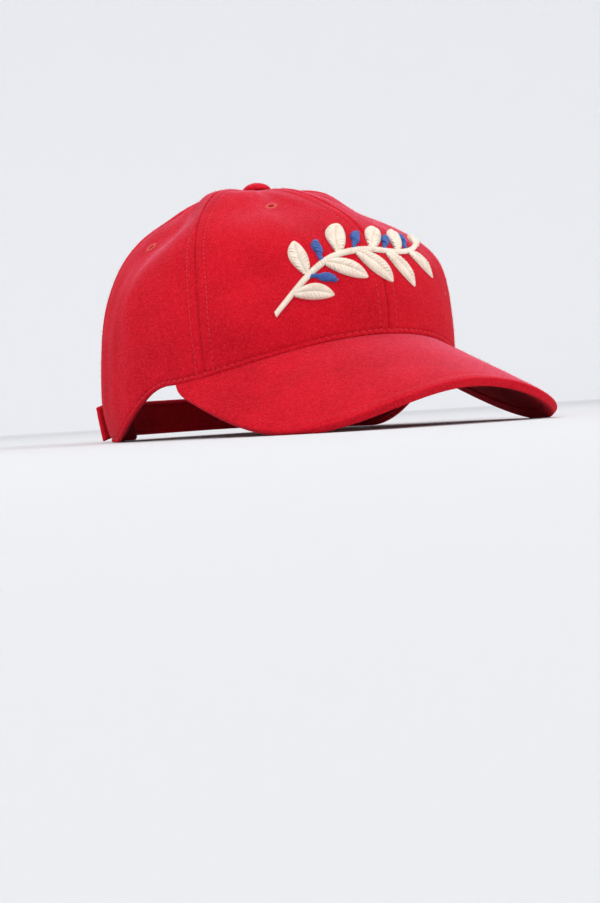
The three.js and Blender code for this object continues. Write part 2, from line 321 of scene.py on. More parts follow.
def addNode(tree, kind, values=None, **settings):
    node = tree.nodes.new(kind)
    for key, value in settings.items():
        setattr(node, key, value)
    for socket, source in (values or {}).items():
        connect(tree, node.inputs[socket], source)
    return node


def calc(tree, operation, *values):
    return addNode(tree, "ShaderNodeMath", dict(enumerate(values)), operation=operation).outputs[0]


def combine(tree, x, y, z):
    return addNode(tree, "ShaderNodeCombineXYZ", {"X": x, "Y": y, "Z": z}).outputs[0]


def randomValue(tree, low, high, seed, kind="FLOAT"):
    limits = {"Min": low, "Max": high, "Seed": seed}
    return addNode(tree, "FunctionNodeRandomValue", limits, data_type=kind).outputs["Value"]


def newTree(name, kind, inputs, outputs):
    tree = bpy.data.node_groups.new(name, kind)
    for way, sockets in (("INPUT", inputs), ("OUTPUT", outputs)):
        for label, socketKind in sockets.items():
            tree.interface.new_socket(label, in_out=way, socket_type="NodeSocket" + socketKind)
    return tree, tree.nodes.new("NodeGroupInput").outputs, tree.nodes.new("NodeGroupOutput").inputs


# The end of each geometry tree: a real mesh in its material
def closeTree(tree, geometry, material, result, smooth=True):
    mesh = addNode(tree, "GeometryNodeRealizeInstances", {0: geometry}).outputs[0]
    if smooth:
        mesh = addNode(tree, "GeometryNodeSetShadeSmooth", {0: mesh}).outputs[0]
    coloured = addNode(tree, "GeometryNodeSetMaterial", {0: mesh, "Material": material})
    tree.links.new(coloured.outputs[0], result[0])
    return tree


# Runs a geometry tree on a piece and keeps the result as a plain mesh
def grow(piece, tree, values):
    modifier = piece.modifiers.new(tree.name, "NODES")
    modifier.node_group = tree
    sockets = {item.name: item.identifier for item in tree.interface.items_tree if item.in_out == "INPUT"}
    for label, value in values.items():
        modifier[sockets[label]] = value
    depsgraph = bpy.context.evaluated_depsgraph_get()
    mesh = bpy.data.meshes.new_from_object(piece.evaluated_get(depsgraph), depsgraph=depsgraph)
    piece.modifiers.clear()
    piece.data = mesh
    mesh.name = piece.name


# Lines of points for threads to follow, each point with the way up from the cloth
def threadLines(name, lines, ups):
    starts = np.cumsum([0] + [len(line) for line in lines])
    edges = []
    for first, after in zip(starts[:-1], starts[1:]):
        edges.append(np.stack([np.arange(first, after - 1), np.arange(first + 1, after)], 1))
    mesh = bpy.data.meshes.new(name)
    mesh.from_pydata(toRow(np.concatenate(lines)).tolist(), np.concatenate(edges).tolist(), [])
    faceUp = mesh.attributes.new("faceUp", "FLOAT_VECTOR", "POINT")
    faceUp.data.foreach_set("vector", np.concatenate(ups).astype(np.float32).ravel())
    return addObject(name, mesh)


# A row of short stitches along each line
def runningStitchTree():
    tree, given, result = newTree("runningStitch", "GeometryNodeTree", {
        "Lines": "Geometry",
        "Pitch": "Float",
        "Length": "Float",
        "Width": "Float",
        "Sway": "Float",
        "Thread": "Material",
    }, {"Stitches": "Geometry"})
    curve = addNode(tree, "GeometryNodeMeshToCurve", {"Mesh": given["Lines"]})
    spaced = addNode(tree, "GeometryNodeResampleCurve", {
        "Curve": curve.outputs[0], "Length": given["Pitch"],
    }, mode="LENGTH")
    up = addNode(tree, "GeometryNodeInputNamedAttribute", {"Name": "faceUp"}, data_type="FLOAT_VECTOR")
    tangent = addNode(tree, "GeometryNodeInputTangent")
    turn = addNode(tree, "FunctionNodeAxesToRotation", {
        "Primary Axis": up.outputs["Attribute"], "Secondary Axis": tangent.outputs[0],
    }, primary_axis="Z", secondary_axis="X")
    sway = randomValue(tree, calc(tree, "MULTIPLY", given["Sway"], -1.0), given["Sway"], 11)
    swayed = addNode(tree, "FunctionNodeRotateRotation", {
        "Rotation": turn.outputs[0], "Rotate By": combine(tree, 0.0, 0.0, sway),
    }, rotation_space="LOCAL")
    bead = addNode(tree, "GeometryNodeMeshUVSphere", {"Segments": 8, "Rings": 5, "Radius": 0.5})
    placed = addNode(tree, "GeometryNodeInstanceOnPoints", {
        "Points": spaced.outputs[0], "Instance": bead.outputs[0], "Rotation": swayed.outputs[0],
        "Scale": combine(tree, given["Length"], given["Width"], given["Width"]),
    })
    return closeTree(tree, placed.outputs[0], given["Thread"], result)


# A thin round thread along each line
def laidThreadTree():
    tree, given, result = newTree("laidThread", "GeometryNodeTree", {
        "Lines": "Geometry",
        "Radius": "Float",
        "Sides": "Int",
        "Thread": "Material",
    }, {"Threads": "Geometry"})
    curve = addNode(tree, "GeometryNodeMeshToCurve", {"Mesh": given["Lines"]})
    outline = addNode(tree, "GeometryNodeCurvePrimitiveCircle", {
        "Resolution": given["Sides"], "Radius": given["Radius"],
    })
    tube = addNode(tree, "GeometryNodeCurveToMesh", {
        "Curve": curve.outputs[0], "Profile Curve": outline.outputs[0], "Fill Caps": True,
    })
    return closeTree(tree, tube.outputs[0], given["Thread"], result)


# Loose fibres that stand off the outside of a cloth
def looseFibreTree():
    tree, given, result = newTree("looseFibre", "GeometryNodeTree", {
        "Cloth": "Geometry",
        "Middle": "Vector",
        "Lowest": "Float",
        "Density": "Float",
        "Length": "Float",
        "Width": "Float",
        "Lean": "Float",
        "Fibre": "Material",
    }, {"Fibres": "Geometry"})

    def above(value, limit):
        limits = {"A": value, "B": limit}
        return addNode(tree, "FunctionNodeCompare", limits, operation="GREATER_THAN").outputs[0]

    place = addNode(tree, "GeometryNodeInputPosition").outputs[0]
    normal = addNode(tree, "GeometryNodeInputNormal").outputs[0]
    away = addNode(tree, "ShaderNodeVectorMath", {0: place, 1: given["Middle"]}, operation="SUBTRACT")
    out = addNode(tree, "ShaderNodeVectorMath", {0: away.outputs[0], 1: normal}, operation="DOT_PRODUCT")
    height = addNode(tree, "ShaderNodeSeparateXYZ", {0: place}).outputs["Z"]
    chosen = addNode(tree, "FunctionNodeBooleanMath", {
        0: above(out.outputs["Value"], 0.0), 1: above(height, given["Lowest"]),
    }, operation="AND")
    roots = addNode(tree, "GeometryNodeDistributePointsOnFaces", {
        "Mesh": given["Cloth"], "Selection": chosen.outputs[0], "Density": given["Density"], "Seed": 5,
    }, distribute_method="RANDOM")
    back = calc(tree, "MULTIPLY", given["Lean"], -1.0)
    least = combine(tree, back, back, 0.0)
    most = combine(tree, given["Lean"], given["Lean"], 6.28)
    turn = addNode(tree, "FunctionNodeRotateRotation", {
        "Rotation": roots.outputs["Rotation"], "Rotate By": randomValue(tree, least, most, 8, "FLOAT_VECTOR"),
    }, rotation_space="LOCAL")
    length = calc(tree, "MULTIPLY", given["Length"], randomValue(tree, 0.5, 1.5, 9))
    fibre = addNode(tree, "GeometryNodeMeshCone", {
        "Vertices": 3, "Radius Top": 0.0, "Radius Bottom": 0.5, "Depth": 1.0,
    })
    placed = addNode(tree, "GeometryNodeInstanceOnPoints", {
        "Points": roots.outputs["Points"], "Instance": fibre.outputs[0], "Rotation": turn.outputs[0],
        "Scale": combine(tree, given["Width"], given["Width"], length),
    })
    return closeTree(tree, placed.outputs[0], given["Fibre"], result, smooth=False)


runningStitch = runningStitchTree()
laidThread = laidThreadTree()
looseFibre = looseFibreTree()
print("stitch trees built")


# Materials

def objectPlace(tree):
    return addNode(tree, "ShaderNodeTexCoord").outputs["Object"]


def noise(tree, place, scale, detail, roughness=0.5, distortion=0.0):
    return addNode(tree, "ShaderNodeTexNoise", {
        "Vector": place, "Scale": scale, "Detail": detail, "Roughness": roughness, "Distortion": distortion,
    }).outputs[0]


def ranged(tree, value, low, high, least=0.0, most=1.0, smooth=False):
    return addNode(tree, "ShaderNodeMapRange", {
        "Value": value, "From Min": low, "From Max": high, "To Min": least, "To Max": most,
    }, interpolation_type="SMOOTHSTEP" if smooth else "LINEAR").outputs[0]


def blend(tree, mask, colour, other):
    node = addNode(tree, "ShaderNodeMix", data_type="RGBA")
    sources = {"Factor_Float": mask, "A_Color": colour, "B_Color": other}
    for socket in node.inputs:
        if socket.identifier in sources:
            connect(tree, socket, sources[socket.identifier])
    return next(socket for socket in node.outputs if socket.identifier == "Result_Color")


def colourRamp(tree, value, colours):
    ramp = addNode(tree, "ShaderNodeValToRGB", {"Fac": value})
    for element, colour in zip(ramp.color_ramp.elements, colours):
        element.color = colour
    return ramp.outputs[0]


# Felted wool: short fibres lying every way, cloudy dye and a few specks of lint
def woolNapGroup():
    tree, given, result = newTree("woolNap", "ShaderNodeTree", {
        "Base": "Color",
        "Pale": "Color",
        "Deep": "Color",
        "Scale": "Float",
        "Lint": "Float",
    }, {"Color": "Color", "Height": "Float"})
    scaled = addNode(tree, "ShaderNodeVectorMath", {
        0: objectPlace(tree), "Scale": given["Scale"],
    }, operation="SCALE").outputs[0]

    def fibres(rotation):
        lying = addNode(tree, "ShaderNodeMapping", {
            "Vector": scaled, "Rotation": rotation, "Scale": (1.0, 0.16, 0.5),
        }).outputs[0]
        return ranged(tree, noise(tree, lying, 2100.0, 2.0, 0.6, 0.6), 0.5, 0.72, smooth=True)

    strands = fibres((0.3, 0.2, 0.4))
    for rotation in ((1.2, 0.5, 1.7), (0.4, 1.5, 2.6)):
        strands = calc(tree, "MAXIMUM", strands, fibres(rotation))
    fleck = noise(tree, scaled, 1300.0, 3.0, 0.7)
    felt = noise(tree, scaled, 420.0, 3.0, 0.6)
    cloud = noise(tree, scaled, 38.0, 3.0, 0.5)
    colour = given["Base"]
    for tone, value, low, high, most in (
        ("Deep", fleck, 0.52, 0.36, 0.85),
        ("Deep", cloud, 0.56, 0.32, 0.65),
        ("Pale", felt, 0.5, 0.8, 0.35),
        ("Pale", fleck, 0.54, 0.7, 0.7),
        ("Pale", strands, 0.0, 1.0, 0.45),
    ):
        colour = blend(tree, ranged(tree, value, low, high, most=most), colour, given[tone])
    specks = addNode(tree, "ShaderNodeTexVoronoi", {"Vector": scaled, "Scale": 75.0}, feature="F1")
    near = ranged(tree, specks.outputs["Distance"], 0.075, 0.03)
    chance = addNode(tree, "ShaderNodeSeparateColor", {0: specks.outputs["Color"]}).outputs[0]
    lint = calc(tree, "MULTIPLY", near, calc(tree, "GREATER_THAN", chance, 0.9))
    lint = calc(tree, "MULTIPLY", lint, given["Lint"])
    colour = blend(tree, lint, colour, (0.86, 0.42, 0.4, 1))
    height = calc(tree, "MULTIPLY_ADD", strands, 0.6, fleck)
    height = calc(tree, "MULTIPLY_ADD", felt, 0.8, height)
    tree.links.new(colour, result["Color"])
    tree.links.new(height, result["Height"])
    return tree


# Spun thread: fine twist lines and a little unevenness in the dye
def spunThreadGroup():
    tree, given, result = newTree("spunThread", "ShaderNodeTree", {
        "Base": "Color",
        "Shade": "Color",
    }, {"Color": "Color", "Height": "Float"})
    place = objectPlace(tree)
    lying = addNode(tree, "ShaderNodeMapping", {"Vector": place, "Rotation": (0.6, 0.5, 0.8)}).outputs[0]
    twist = addNode(tree, "ShaderNodeTexWave", {
        "Vector": lying, "Scale": 900.0, "Distortion": 3.0, "Detail": 2.0, "Detail Scale": 2.0,
    }).outputs["Fac"]
    uneven = calc(tree, "MULTIPLY_ADD", twist, 0.35, noise(tree, place, 260.0, 3.0))
    colour = blend(tree, ranged(tree, uneven, 0.75, 0.35), given["Base"], given["Shade"])
    tree.links.new(colour, result["Color"])
    tree.links.new(twist, result["Height"])
    return tree


woolNap = woolNapGroup()
spunThread = spunThreadGroup()


# A Principled material with plain values on the shader
def newMaterial(name, shader):
    material = bpy.data.materials.new(name)
    material.use_nodes = True
    inputs = material.node_tree.nodes["Principled BSDF"].inputs
    for socket, value in shader.items():
        inputs[socket].default_value = value
    return material, material.node_tree, inputs


# Painted sheen on the wool: a pale pink blended into the base colour, strongest where the cloth is seen
# edge-on and on upward slopes
paintedNapSheen = {
    "colour": (0.84, 0.18, 0.28, 1),
    "strength": 0.85,
    "falloff": 5.2,
    "upward": (0.25, 0.95, 0.08),  # slopes between which the painted sheen sets in, and the least share of it
    "uneven": (0.6, 1.6, 0.45, 1.5),
}


# Painted sheen: the colour turns pale pink where the cloth is seen along its surface, mostly on top, in place
# of the nap catching the light from above
def paintedSheen(tree, colour, height):
    facing = addNode(tree, "ShaderNodeLayerWeight", {"Blend": 0.5}).outputs["Facing"]
    edge = calc(tree, "MULTIPLY", calc(tree, "POWER", facing, paintedNapSheen["falloff"]), paintedNapSheen["strength"])
    normal = addNode(tree, "ShaderNodeTexCoord").outputs["Normal"]
    upward = addNode(tree, "ShaderNodeSeparateXYZ", {0: normal}).outputs["Z"]
    edge = calc(tree, "MULTIPLY", edge, ranged(tree, upward, *paintedNapSheen["upward"], smooth=True))
    edge = calc(tree, "MULTIPLY", edge, ranged(tree, height, *paintedNapSheen["uneven"]))
    return blend(tree, edge, colour, paintedNapSheen["colour"])


# Cloth or thread, with its colour and bump from a group, and if asked a painted sheen blended into the colour
def clothMaterial(name, group, values, bump, shader, paintSheen=False):
    material, tree, inputs = newMaterial(name, shader)
    effect = addNode(tree, "ShaderNodeGroup", values, node_tree=group).outputs
    colour = effect["Color"]
    if paintSheen:
        colour = paintedSheen(tree, colour, effect["Height"])
    tree.links.new(colour, inputs["Base Color"])
    relief = addNode(tree, "ShaderNodeBump", {"Height": effect["Height"], **bump})
    tree.links.new(relief.outputs[0], inputs["Normal"])
    return material


woolShader = {
    "Roughness": 0.8,
    "Specular IOR Level": 0.04,
    "Sheen Weight": 0.06,
    "Sheen Roughness": 0.35,
    "Sheen Tint": (1.0, 0.5, 0.6, 1),
}
threadShader = {
    "Roughness": 0.62,
    "Specular IOR Level": 0.35,
    "Sheen Weight": 0.15,
    "Sheen Roughness": 0.4,
}
satinShader = {
    "Roughness": 0.42,
    "Specular IOR Level": 0.5,
    "Sheen Weight": 0.12,
    "Sheen Roughness": 0.35,
}
napBump = {"Distance": 0.4 * mm, "Strength": 0.85}
seamBump = {"Distance": 0.08 * mm, "Strength": 0.5}
satinBump = {"Distance": 0.06 * mm, "Strength": 0.4}
# The two outer wools below get painted sheen: their base colour turns pale pink edge-on on upward slopes
meltonRed = clothMaterial("meltonRed", woolNap, {
    "Base": (0.61, 0.005, 0.0165, 1),
    "Pale": (0.78, 0.021, 0.042, 1),
    "Deep": (0.43, 0.0025, 0.0095, 1),
    "Scale": 1.0,
    "Lint": 0.55,
}, napBump, woolShader, paintSheen=True)
meltonUnder = clothMaterial("meltonUnder", woolNap, {
    "Base": (0.56, 0.0075, 0.018, 1),
    "Pale": (0.7, 0.024, 0.042, 1),
    "Deep": (0.42, 0.004, 0.01, 1),
    "Scale": 1.0,
    "Lint": 0.35,
}, napBump, woolShader, paintSheen=True)
bandCotton = clothMaterial("bandCotton", woolNap, {
    "Base": (0.38, 0.008, 0.02, 1),
    "Pale": (0.5, 0.03, 0.045, 1),
    "Deep": (0.26, 0.005, 0.012, 1),
    "Scale": 1.3,
    "Lint": 0.1,
}, {"Distance": 0.2 * mm, "Strength": 0.5}, woolShader)
# Loose fibres made paler than the cloth as a painted highlight, for the light the fibres catch at the outline
looseWoolPaintedHighlight = clothMaterial("looseWoolPaintedHighlight", woolNap, {
    "Base": (0.72, 0.03, 0.05, 1),
    "Pale": (0.84, 0.1, 0.15, 1),
    "Deep": (0.6, 0.012, 0.024, 1),
    "Scale": 1.0,
    "Lint": 0.5,
}, {"Distance": 0.05 * mm, "Strength": 0.1}, woolShader)
seamThread = clothMaterial("seamThread", spunThread, {
    "Base": (0.62, 0.018, 0.032, 1), "Shade": (0.46, 0.008, 0.016, 1),
}, seamBump, threadShader)
eyeletThread = clothMaterial("eyeletThread", spunThread, {
    "Base": (0.7, 0.062, 0.055, 1), "Shade": (0.52, 0.026, 0.03, 1),
}, seamBump, threadShader)
creamThread = clothMaterial("creamThread", spunThread, {
    "Base": (0.83, 0.735, 0.625, 1), "Shade": (0.67, 0.54, 0.41, 1),
}, satinBump, satinShader)
blueThread = clothMaterial("blueThread", spunThread, {
    "Base": (0.035, 0.115, 0.4, 1), "Shade": (0.018, 0.055, 0.24, 1),
}, satinBump, satinShader)
print("materials built")


# Crown: six gores of wool, sewn edge to edge

goreSizes = {
    "columns": 100,
    "rows": 122,
    "rowCrowding": 1.22,
    "seamCrowding": 0.45,
    "rollSteps": 6,
    "rollStart": 0.7,  # the rounded lower edge starts this far up
    "rollReach": 0.9,
    "hemRows": 14,
    "rowInside": 3,  # a row that is well above the edge everywhere
    "rowSamples": 400,
}
seamLook = {
    "lap": 0.02,  # the gores run into each other by this much, so that no light comes through
    "groove": 0.66,
    "grooveWidth": 0.62,
    "grooveTop": 0.45,  # share of the groove that is left at the top
    "band": 0.2,  # the pressed-open seam allowance under the cloth
    "bandStart": (0.3, 1.7),
    "bandEnd": (4.0, 5.8),
    "rowOffset": 4.8,
    "rowDepth": 0.34,
    "rowWidth": 0.75,
    "rowPull": 0.6,
    "rowRises": (0.03, 0.955),
    "rowCrowding": 1.5,
    "rowSamples": 260,
    "backRowTop": 0.93,
    "backRowSamples": 200,
    "archClear": 1.0,
    "threadSunk": 0.05,
    "fullWidth": (6, 20),  # bands and rows fade where the gores run together at the top
}
hemLook = {
    "rowOffset": 2.2,
    "rowDepth": 0.7,
    "rowWidth": 0.6,
    "puffOffset": 1.15,
    "puffSunk": 0.72,
    "threadSunk": 0.6,
    "edgeSamples": 4,  # for each column
    "farOff": 99.0,
}
seamStitch = {"pitch": 2.7, "length": 2.0, "width": 0.5}
hemStitch = {"pitch": 3.5, "length": 2.4, "width": 0.55}
hemPuff = {"pitch": 3.5, "length": 4.1, "width": 2.1}
stitchSway = 0.1
arch = {
    "halfWidth": 38,
    "height": 46,
    "squareness": 2.2,
    "corner": 4.5,
    "levelSamples": 120,
    "curveSamples": 160,
    "evenSamples": 600,
    "passes": 8,
}
waves = [  # soft unevenness of the cloth: height, turns round, turns up, start
    (0.34, 5.1, 2.6, 0.4),
    (0.26, 9.3, -4.4, 1.9),
    (0.2, 14.7, 3.1, 5.1),
    (0.1, 23.0, 9.0, 0.7),
]
waveFade = {"low": (0, 0.14), "top": (0.8, 0.97)}
dents = [  # larger soft dents and bulges: angle and height of the middle, half width, half height, depth
    (-44, 76, 22, 14, 4.8),
    (-46, 103, 22, 8.5, -1.3),
    (-44, 49, 22, 8.5, -1.2),
    (-72, 58, 9, 15, 0.9),
    (-80, 70, 9, 22, 0.6),
    (-89, 74, 9, 26, -0.5),
    (-127, 114, 26, 7, 2.2),
    (-88, 118, 16, 6, -1.7),
    (68, 112, 22, 8, 2.6),
    (46, 82, 20, 13, -2.3),
    (88, 60, 12, 18, 0.7),
    (150, 84, 16, 12, 0.8),
    (-160, 96, 14, 10, 0.6),
]
roundRadius = 80  # millimetres round the crown for each radian, for the sizes of the dents
sideFolds = {
    "height": 0.3,
    "turns": 31,
    "lean": 2.2,
    "from": (82, 104),
    "to": (124, 146),
    "low": (0, 0.06),
    "top": (0.2, 0.55),
}


def crowded(count, crowding):
    share = np.linspace(0, 1, count + 1)
    return share - crowding * np.sin(2 * math.pi * share) / (2 * math.pi)


def clothWave(angle, rise):
    height = 0
    for size, turnsRound, turnsUp, start in waves:
        height = height + size * np.sin(turnsRound * angle + turnsUp * rise * math.pi + start)
    height = height * smoothStep(*waveFade["low"], rise) * (1 - smoothStep(*waveFade["top"], rise))
    level = crownPoint(angle, rise)[..., 2]
    for middle, middleHeight, wide, tall, depth in dents:
        across = (angle - math.radians(middle)) * roundRadius
        height = height - depth * hump(across, 0, wide) * hump(level, middleHeight, tall)
    around = np.degrees(np.abs(angle))
    place = smoothStep(*sideFolds["from"], around) * (1 - smoothStep(*sideFolds["to"], around))
    place = place * (1 - smoothStep(*sideFolds["top"], rise)) * smoothStep(*sideFolds["low"], rise)
    fold = np.sin(sideFolds["turns"] * angle + sideFolds["lean"] * rise)
    return height + sideFolds["height"] * place * fold


# How far a row of stitches draws the cloth in: most between two stitches
def stitchPull(run, total, pitch):
    between = 0.5 - 0.5 * np.cos(2 * math.pi * math.floor(total / pitch) * run / total)
    return mix(1, between, seamLook["rowPull"])


def seamRelief(distance, width, pull):
    full = smoothStep(*seamLook["fullWidth"], width)
    inside = smoothStep(*seamLook["bandStart"], distance) * (1 - smoothStep(*seamLook["bandEnd"], distance))
    row = seamLook["rowDepth"] * hump(distance, seamLook["rowOffset"], seamLook["rowWidth"]) * pull
    groove = seamLook["groove"] * mix(seamLook["grooveTop"], 1, full)
    return (seamLook["band"] * inside - row) * full - groove * hump(distance, 0, seamLook["grooveWidth"])


def hemRelief(distance):
    return -hemLook["rowDepth"] * hump(distance, hemLook["rowOffset"], hemLook["rowWidth"])


# The back gore's lower edge: along the table, then up the arch to the middle of the back
def archEdge(columns, inset):
    turns = np.radians(np.linspace(0, 90, arch["curveSamples"]))
    power = 2 / arch["squareness"]
    corner = arch["halfWidth"] + inset
    start = crownPoint(seamAngle("sideBack", 0), 0.0)[0]
    level = np.linspace(start, corner, arch["levelSamples"])[:-1]
    rising = (arch["height"] + inset) * np.sin(turns).clip(0) ** power
    x = np.concatenate([level, corner * np.cos(turns).clip(0) ** power])
    z = np.concatenate([np.zeros(len(level)), rising]).clip(inset)
    run = runLength(np.stack([x, z], 1))
    even = np.linspace(0, run[-1], arch["evenSamples"])
    reach = int(arch["corner"] / (even[1] - even[0]))
    kernel = np.hanning(reach + 2)[1:-1]

    def rounded(values):
        padded = np.pad(np.interp(even, run, values), reach, mode="reflect", reflect_type="odd")
        return np.convolve(padded, kernel / kernel.sum(), "same")[reach:-reach]

    x, z = rounded(x), rounded(z).clip(inset)
    angle = math.pi - np.arcsin(np.clip(x / crown["halfWidth"], 0, 1))
    for _ in range(arch["passes"]):
        rise = riseAbove(angle, z)
        out = crownPoint(angle, rise)[:, 0] / (crown["halfWidth"] * np.sin(angle).clip(1e-6))
        angle = math.pi - np.arcsin(np.clip(x / (crown["halfWidth"] * np.where(x > 0.01, out, 1)), 0, 1))
    angle[-1] = math.pi
    run = runLength(crownPoint(angle, rise))
    wanted = crowded(columns, goreSizes["seamCrowding"]) * run[-1]
    return np.interp(wanted, run, angle), np.interp(wanted, run, rise)


def goreLayout(gore, side):
    columns, rows = goreSizes["columns"], goreSizes["rows"]
    acrossTop = acrossLow = crowded(columns, goreSizes["seamCrowding"])
    angleLow = mix(seamAngle(gore["from"], 0), seamAngle(gore["to"], 0), acrossLow)
    riseLow = riseAbove(angleLow, goreSizes["rollStart"])
    if gore["name"] == "back":
        angleLow, riseLow = archEdge(columns, goreSizes["rollStart"])
        low, high = seamAngle(gore["from"], riseLow), seamAngle(gore["to"], riseLow)
        acrossLow = (angleLow - low) / (high - low)
    topAngle = np.radians(mix(seamAngles[gore["from"]][1], seamAngles[gore["to"]][1], acrossTop))
    riseTop = np.arccos(crown["topHole"] ** (crownRoundness(topAngle)[0] / 2)) / (math.pi / 2)

    def anglesAt(share):
        rise = mix(riseLow[:, None], riseTop[:, None], share)
        across = mix(acrossLow[:, None], acrossTop[:, None], share)
        low, high = seamAngle(gore["from"], rise), seamAngle(gore["to"], rise)
        return rise, low, high, mix(low, high, across)

    fine = np.linspace(0, 1, goreSizes["rowSamples"]) ** 2
    rise, _, _, around = anglesAt(fine[None])
    wanted = np.linspace(0, 1, rows + 1) ** goreSizes["rowCrowding"]
    runs = [runLength(column) for column in crownPoint(side * around, rise)]
    share = np.array([np.interp(wanted * run[-1], run, fine) for run in runs])
    rise, low, high, around = anglesAt(share)
    _, normal, stretch = crownFrame(side * around, rise)
    lap = seamLook["lap"] / stretch
    around[0] -= lap[0]
    around[-1] += lap[-1]
    point = crownPoint(side * around, rise)
    edgeOut = np.cross(normal[:, 0], unit(np.gradient(point[:, 0], axis=0)))
    down = point[:, 0] - point[:, goreSizes["rowInside"]]
    edgeOut *= np.sign(np.sum(edgeOut * down, 1))[:, None]
    return {
        "around": around,
        "rise": rise,
        "point": point,
        "normal": normal,
        "edgeOut": edgeOut,
        "from": (around - low) * stretch,
        "to": (high - around) * stretch,
        "width": (high - low) * stretch,
    }


# Topstitch line beside a seam, and its length at each rise
def seamRow(gore, which, side):
    rise = np.linspace(*seamLook["rowRises"], seamLook["rowSamples"]) ** seamLook["rowCrowding"]
    if gore["name"] == "back" and which == "to":
        overArch = riseAbove(np.array(math.pi), np.array(arch["height"] + seamLook["archClear"]))
        rise = np.linspace(overArch, seamLook["backRowTop"], seamLook["backRowSamples"])
    seam = seamAngle(gore[which], rise)
    inward = 1 if which == "from" else -1
    _, _, stretch = crownFrame(side * seam, rise)
    angle = side * (seam + inward * seamLook["rowOffset"] / stretch)
    point, normal, _ = crownFrame(angle, rise)
    return {"rise": rise, "angle": angle, "point": point, "normal": normal, "run": runLength(point)}


# Distance from the lower edge, for the rows near it
def hemDistance(layout):
    edge = layout["point"][:, 0] + layout["edgeOut"] * goreSizes["rollReach"]
    fine = np.linspace(0, len(edge) - 1, hemLook["edgeSamples"] * len(edge))
    edge = np.stack([np.interp(fine, np.arange(len(edge)), edge[:, axis]) for axis in range(3)], 1)
    distance = np.full(layout["rise"].shape, hemLook["farOff"])
    for row in range(goreSizes["hemRows"]):
        distance[:, row] = np.linalg.norm(layout["point"][:, row, None] - edge[None], axis=2).min(1)
    return distance


# A line along the lower edge, so far up the cloth and so far under its face
def hemLine(layout, offset, sunk):
    normal = layout["normal"][:, 0]
    inset = offset - goreSizes["rollReach"]
    return layout["point"][:, 0] - layout["edgeOut"] * inset - normal * sunk, normal


def eyeletPlace(gore, hand):
    angle, rise = gore["eyelet"]
    return np.array(math.radians(angle) * hands[hand]), np.array(rise)


eyelet = {
    "cut": 2.1,
    "bore": 1.5,
    "columns": 40,
    "threads": 34,
    "threadMiddle": 2.4,
    "threadSize": (2.2, 0.52, 1.2),
    "lift": 0.1,
}


# Cells of the gore inside the eyelet's hole; the points round it are drawn to a circle
def cutHole(rings, middle, normal):
    outer = rings[:, : goreSizes["rows"] + 1]
    centres = (outer[:-1, :-1] + outer[1:, :-1] + outer[:-1, 1:] + outer[1:, 1:]) / 4
    away = centres - middle
    away -= (away @ normal)[..., None] * normal
    cells = {tuple(cell) for cell in np.argwhere(np.linalg.norm(away, axis=-1) < eyelet["cut"])}
    ring = rings.shape[1]
    border = set()
    for column, row in cells:
        for corner in ((column, row), (column + 1, row), (column, row + 1), (column + 1, row + 1)):
            around = {(corner[0] - a, corner[1] - b) for a in (0, 1) for b in (0, 1)}
            if not around <= cells:
                border.add(corner)
    for column, row in border:
        for place in ((column, row), (column, ring - 1 - row)):
            away = rings[place] - middle
            depth = away @ normal
            flat = away - depth * normal
            rings[place] = middle + depth * normal + flat / np.linalg.norm(flat) * eyelet["cut"]
    return cells


def makeGore(gore, hand):
    side = hands[hand]
    layout = goreLayout(gore, side)
    point, normal = layout["point"], layout["normal"]
    rows = {which: seamRow(gore, which, side) for which in ("from", "to")}
    drape = clothWave(side * layout["around"], layout["rise"])
    relief = drape + hemRelief(hemDistance(layout))
    for which, row in rows.items():
        run = np.interp(layout["rise"], row["rise"], row["run"])
        pull = stitchPull(run, row["run"][-1], seamStitch["pitch"])
        relief = relief + seamRelief(layout[which], layout["width"], pull)
    outer = point + normal * relief[..., None]
    inner = point + normal * (drape - clothThickness)[..., None]
    inner[:, 0] = outer[:, 0] - normal[:, 0] * clothThickness
    roll = rolledEdge(
        outer[:, 0], normal[:, 0], layout["edgeOut"],
        clothThickness, goreSizes["rollSteps"], goreSizes["rollReach"],
    )
    rings = np.concatenate([outer[:, ::-1], roll, inner], 1)
    rings[..., 2] = rings[..., 2].clip(tableGap)
    middle, outward, _ = crownFrame(*eyeletPlace(gore, hand))
    hole = cutHole(rings, middle, outward)
    piece = loft(gore["name"] + "Panel" + hand.capitalize(), rings, meltonRed, hole=hole)
    enter(piece, "%s_panel_%s" % (gore["name"], hand))
    lines = []
    for row in rows.values():
        level = clothWave(row["angle"], row["rise"]) - seamLook["threadSunk"]
        lines.append((row["point"] + row["normal"] * level[:, None], row["normal"]))
    hem = hemLine(layout, hemLook["rowOffset"], hemLook["threadSunk"])
    return lines, hem, hemLine(layout, hemLook["puffOffset"], hemLook["puffSunk"])


seamLines = []
hemLines = []
puffLines = []
for gore in gores:
    for hand in hands:
        seamRows, hemRow, puffRow = makeGore(gore, hand)
        seamLines += seamRows
        hemLines.append(hemRow)
        puffLines.append(puffRow)
print("crown gores made")


def stitchRows(name, lines, stitch, material=seamThread):
    piece = threadLines(name, [line for line, _ in lines], [up for _, up in lines])
    sizes = {label.capitalize(): size * mm for label, size in stitch.items()}
    grow(piece, runningStitch, {**sizes, "Sway": stitchSway, "Thread": material})
    enter(piece)


stitchRows("crownTopstitches", seamLines, seamStitch)
stitchRows("hemStitches", hemLines, hemStitch)
stitchRows("hemPuffs", puffLines, hemPuff, meltonRed)
print("crown stitches sewn")


# Eyelets: a wreath of thread sewn over the edge of a hole

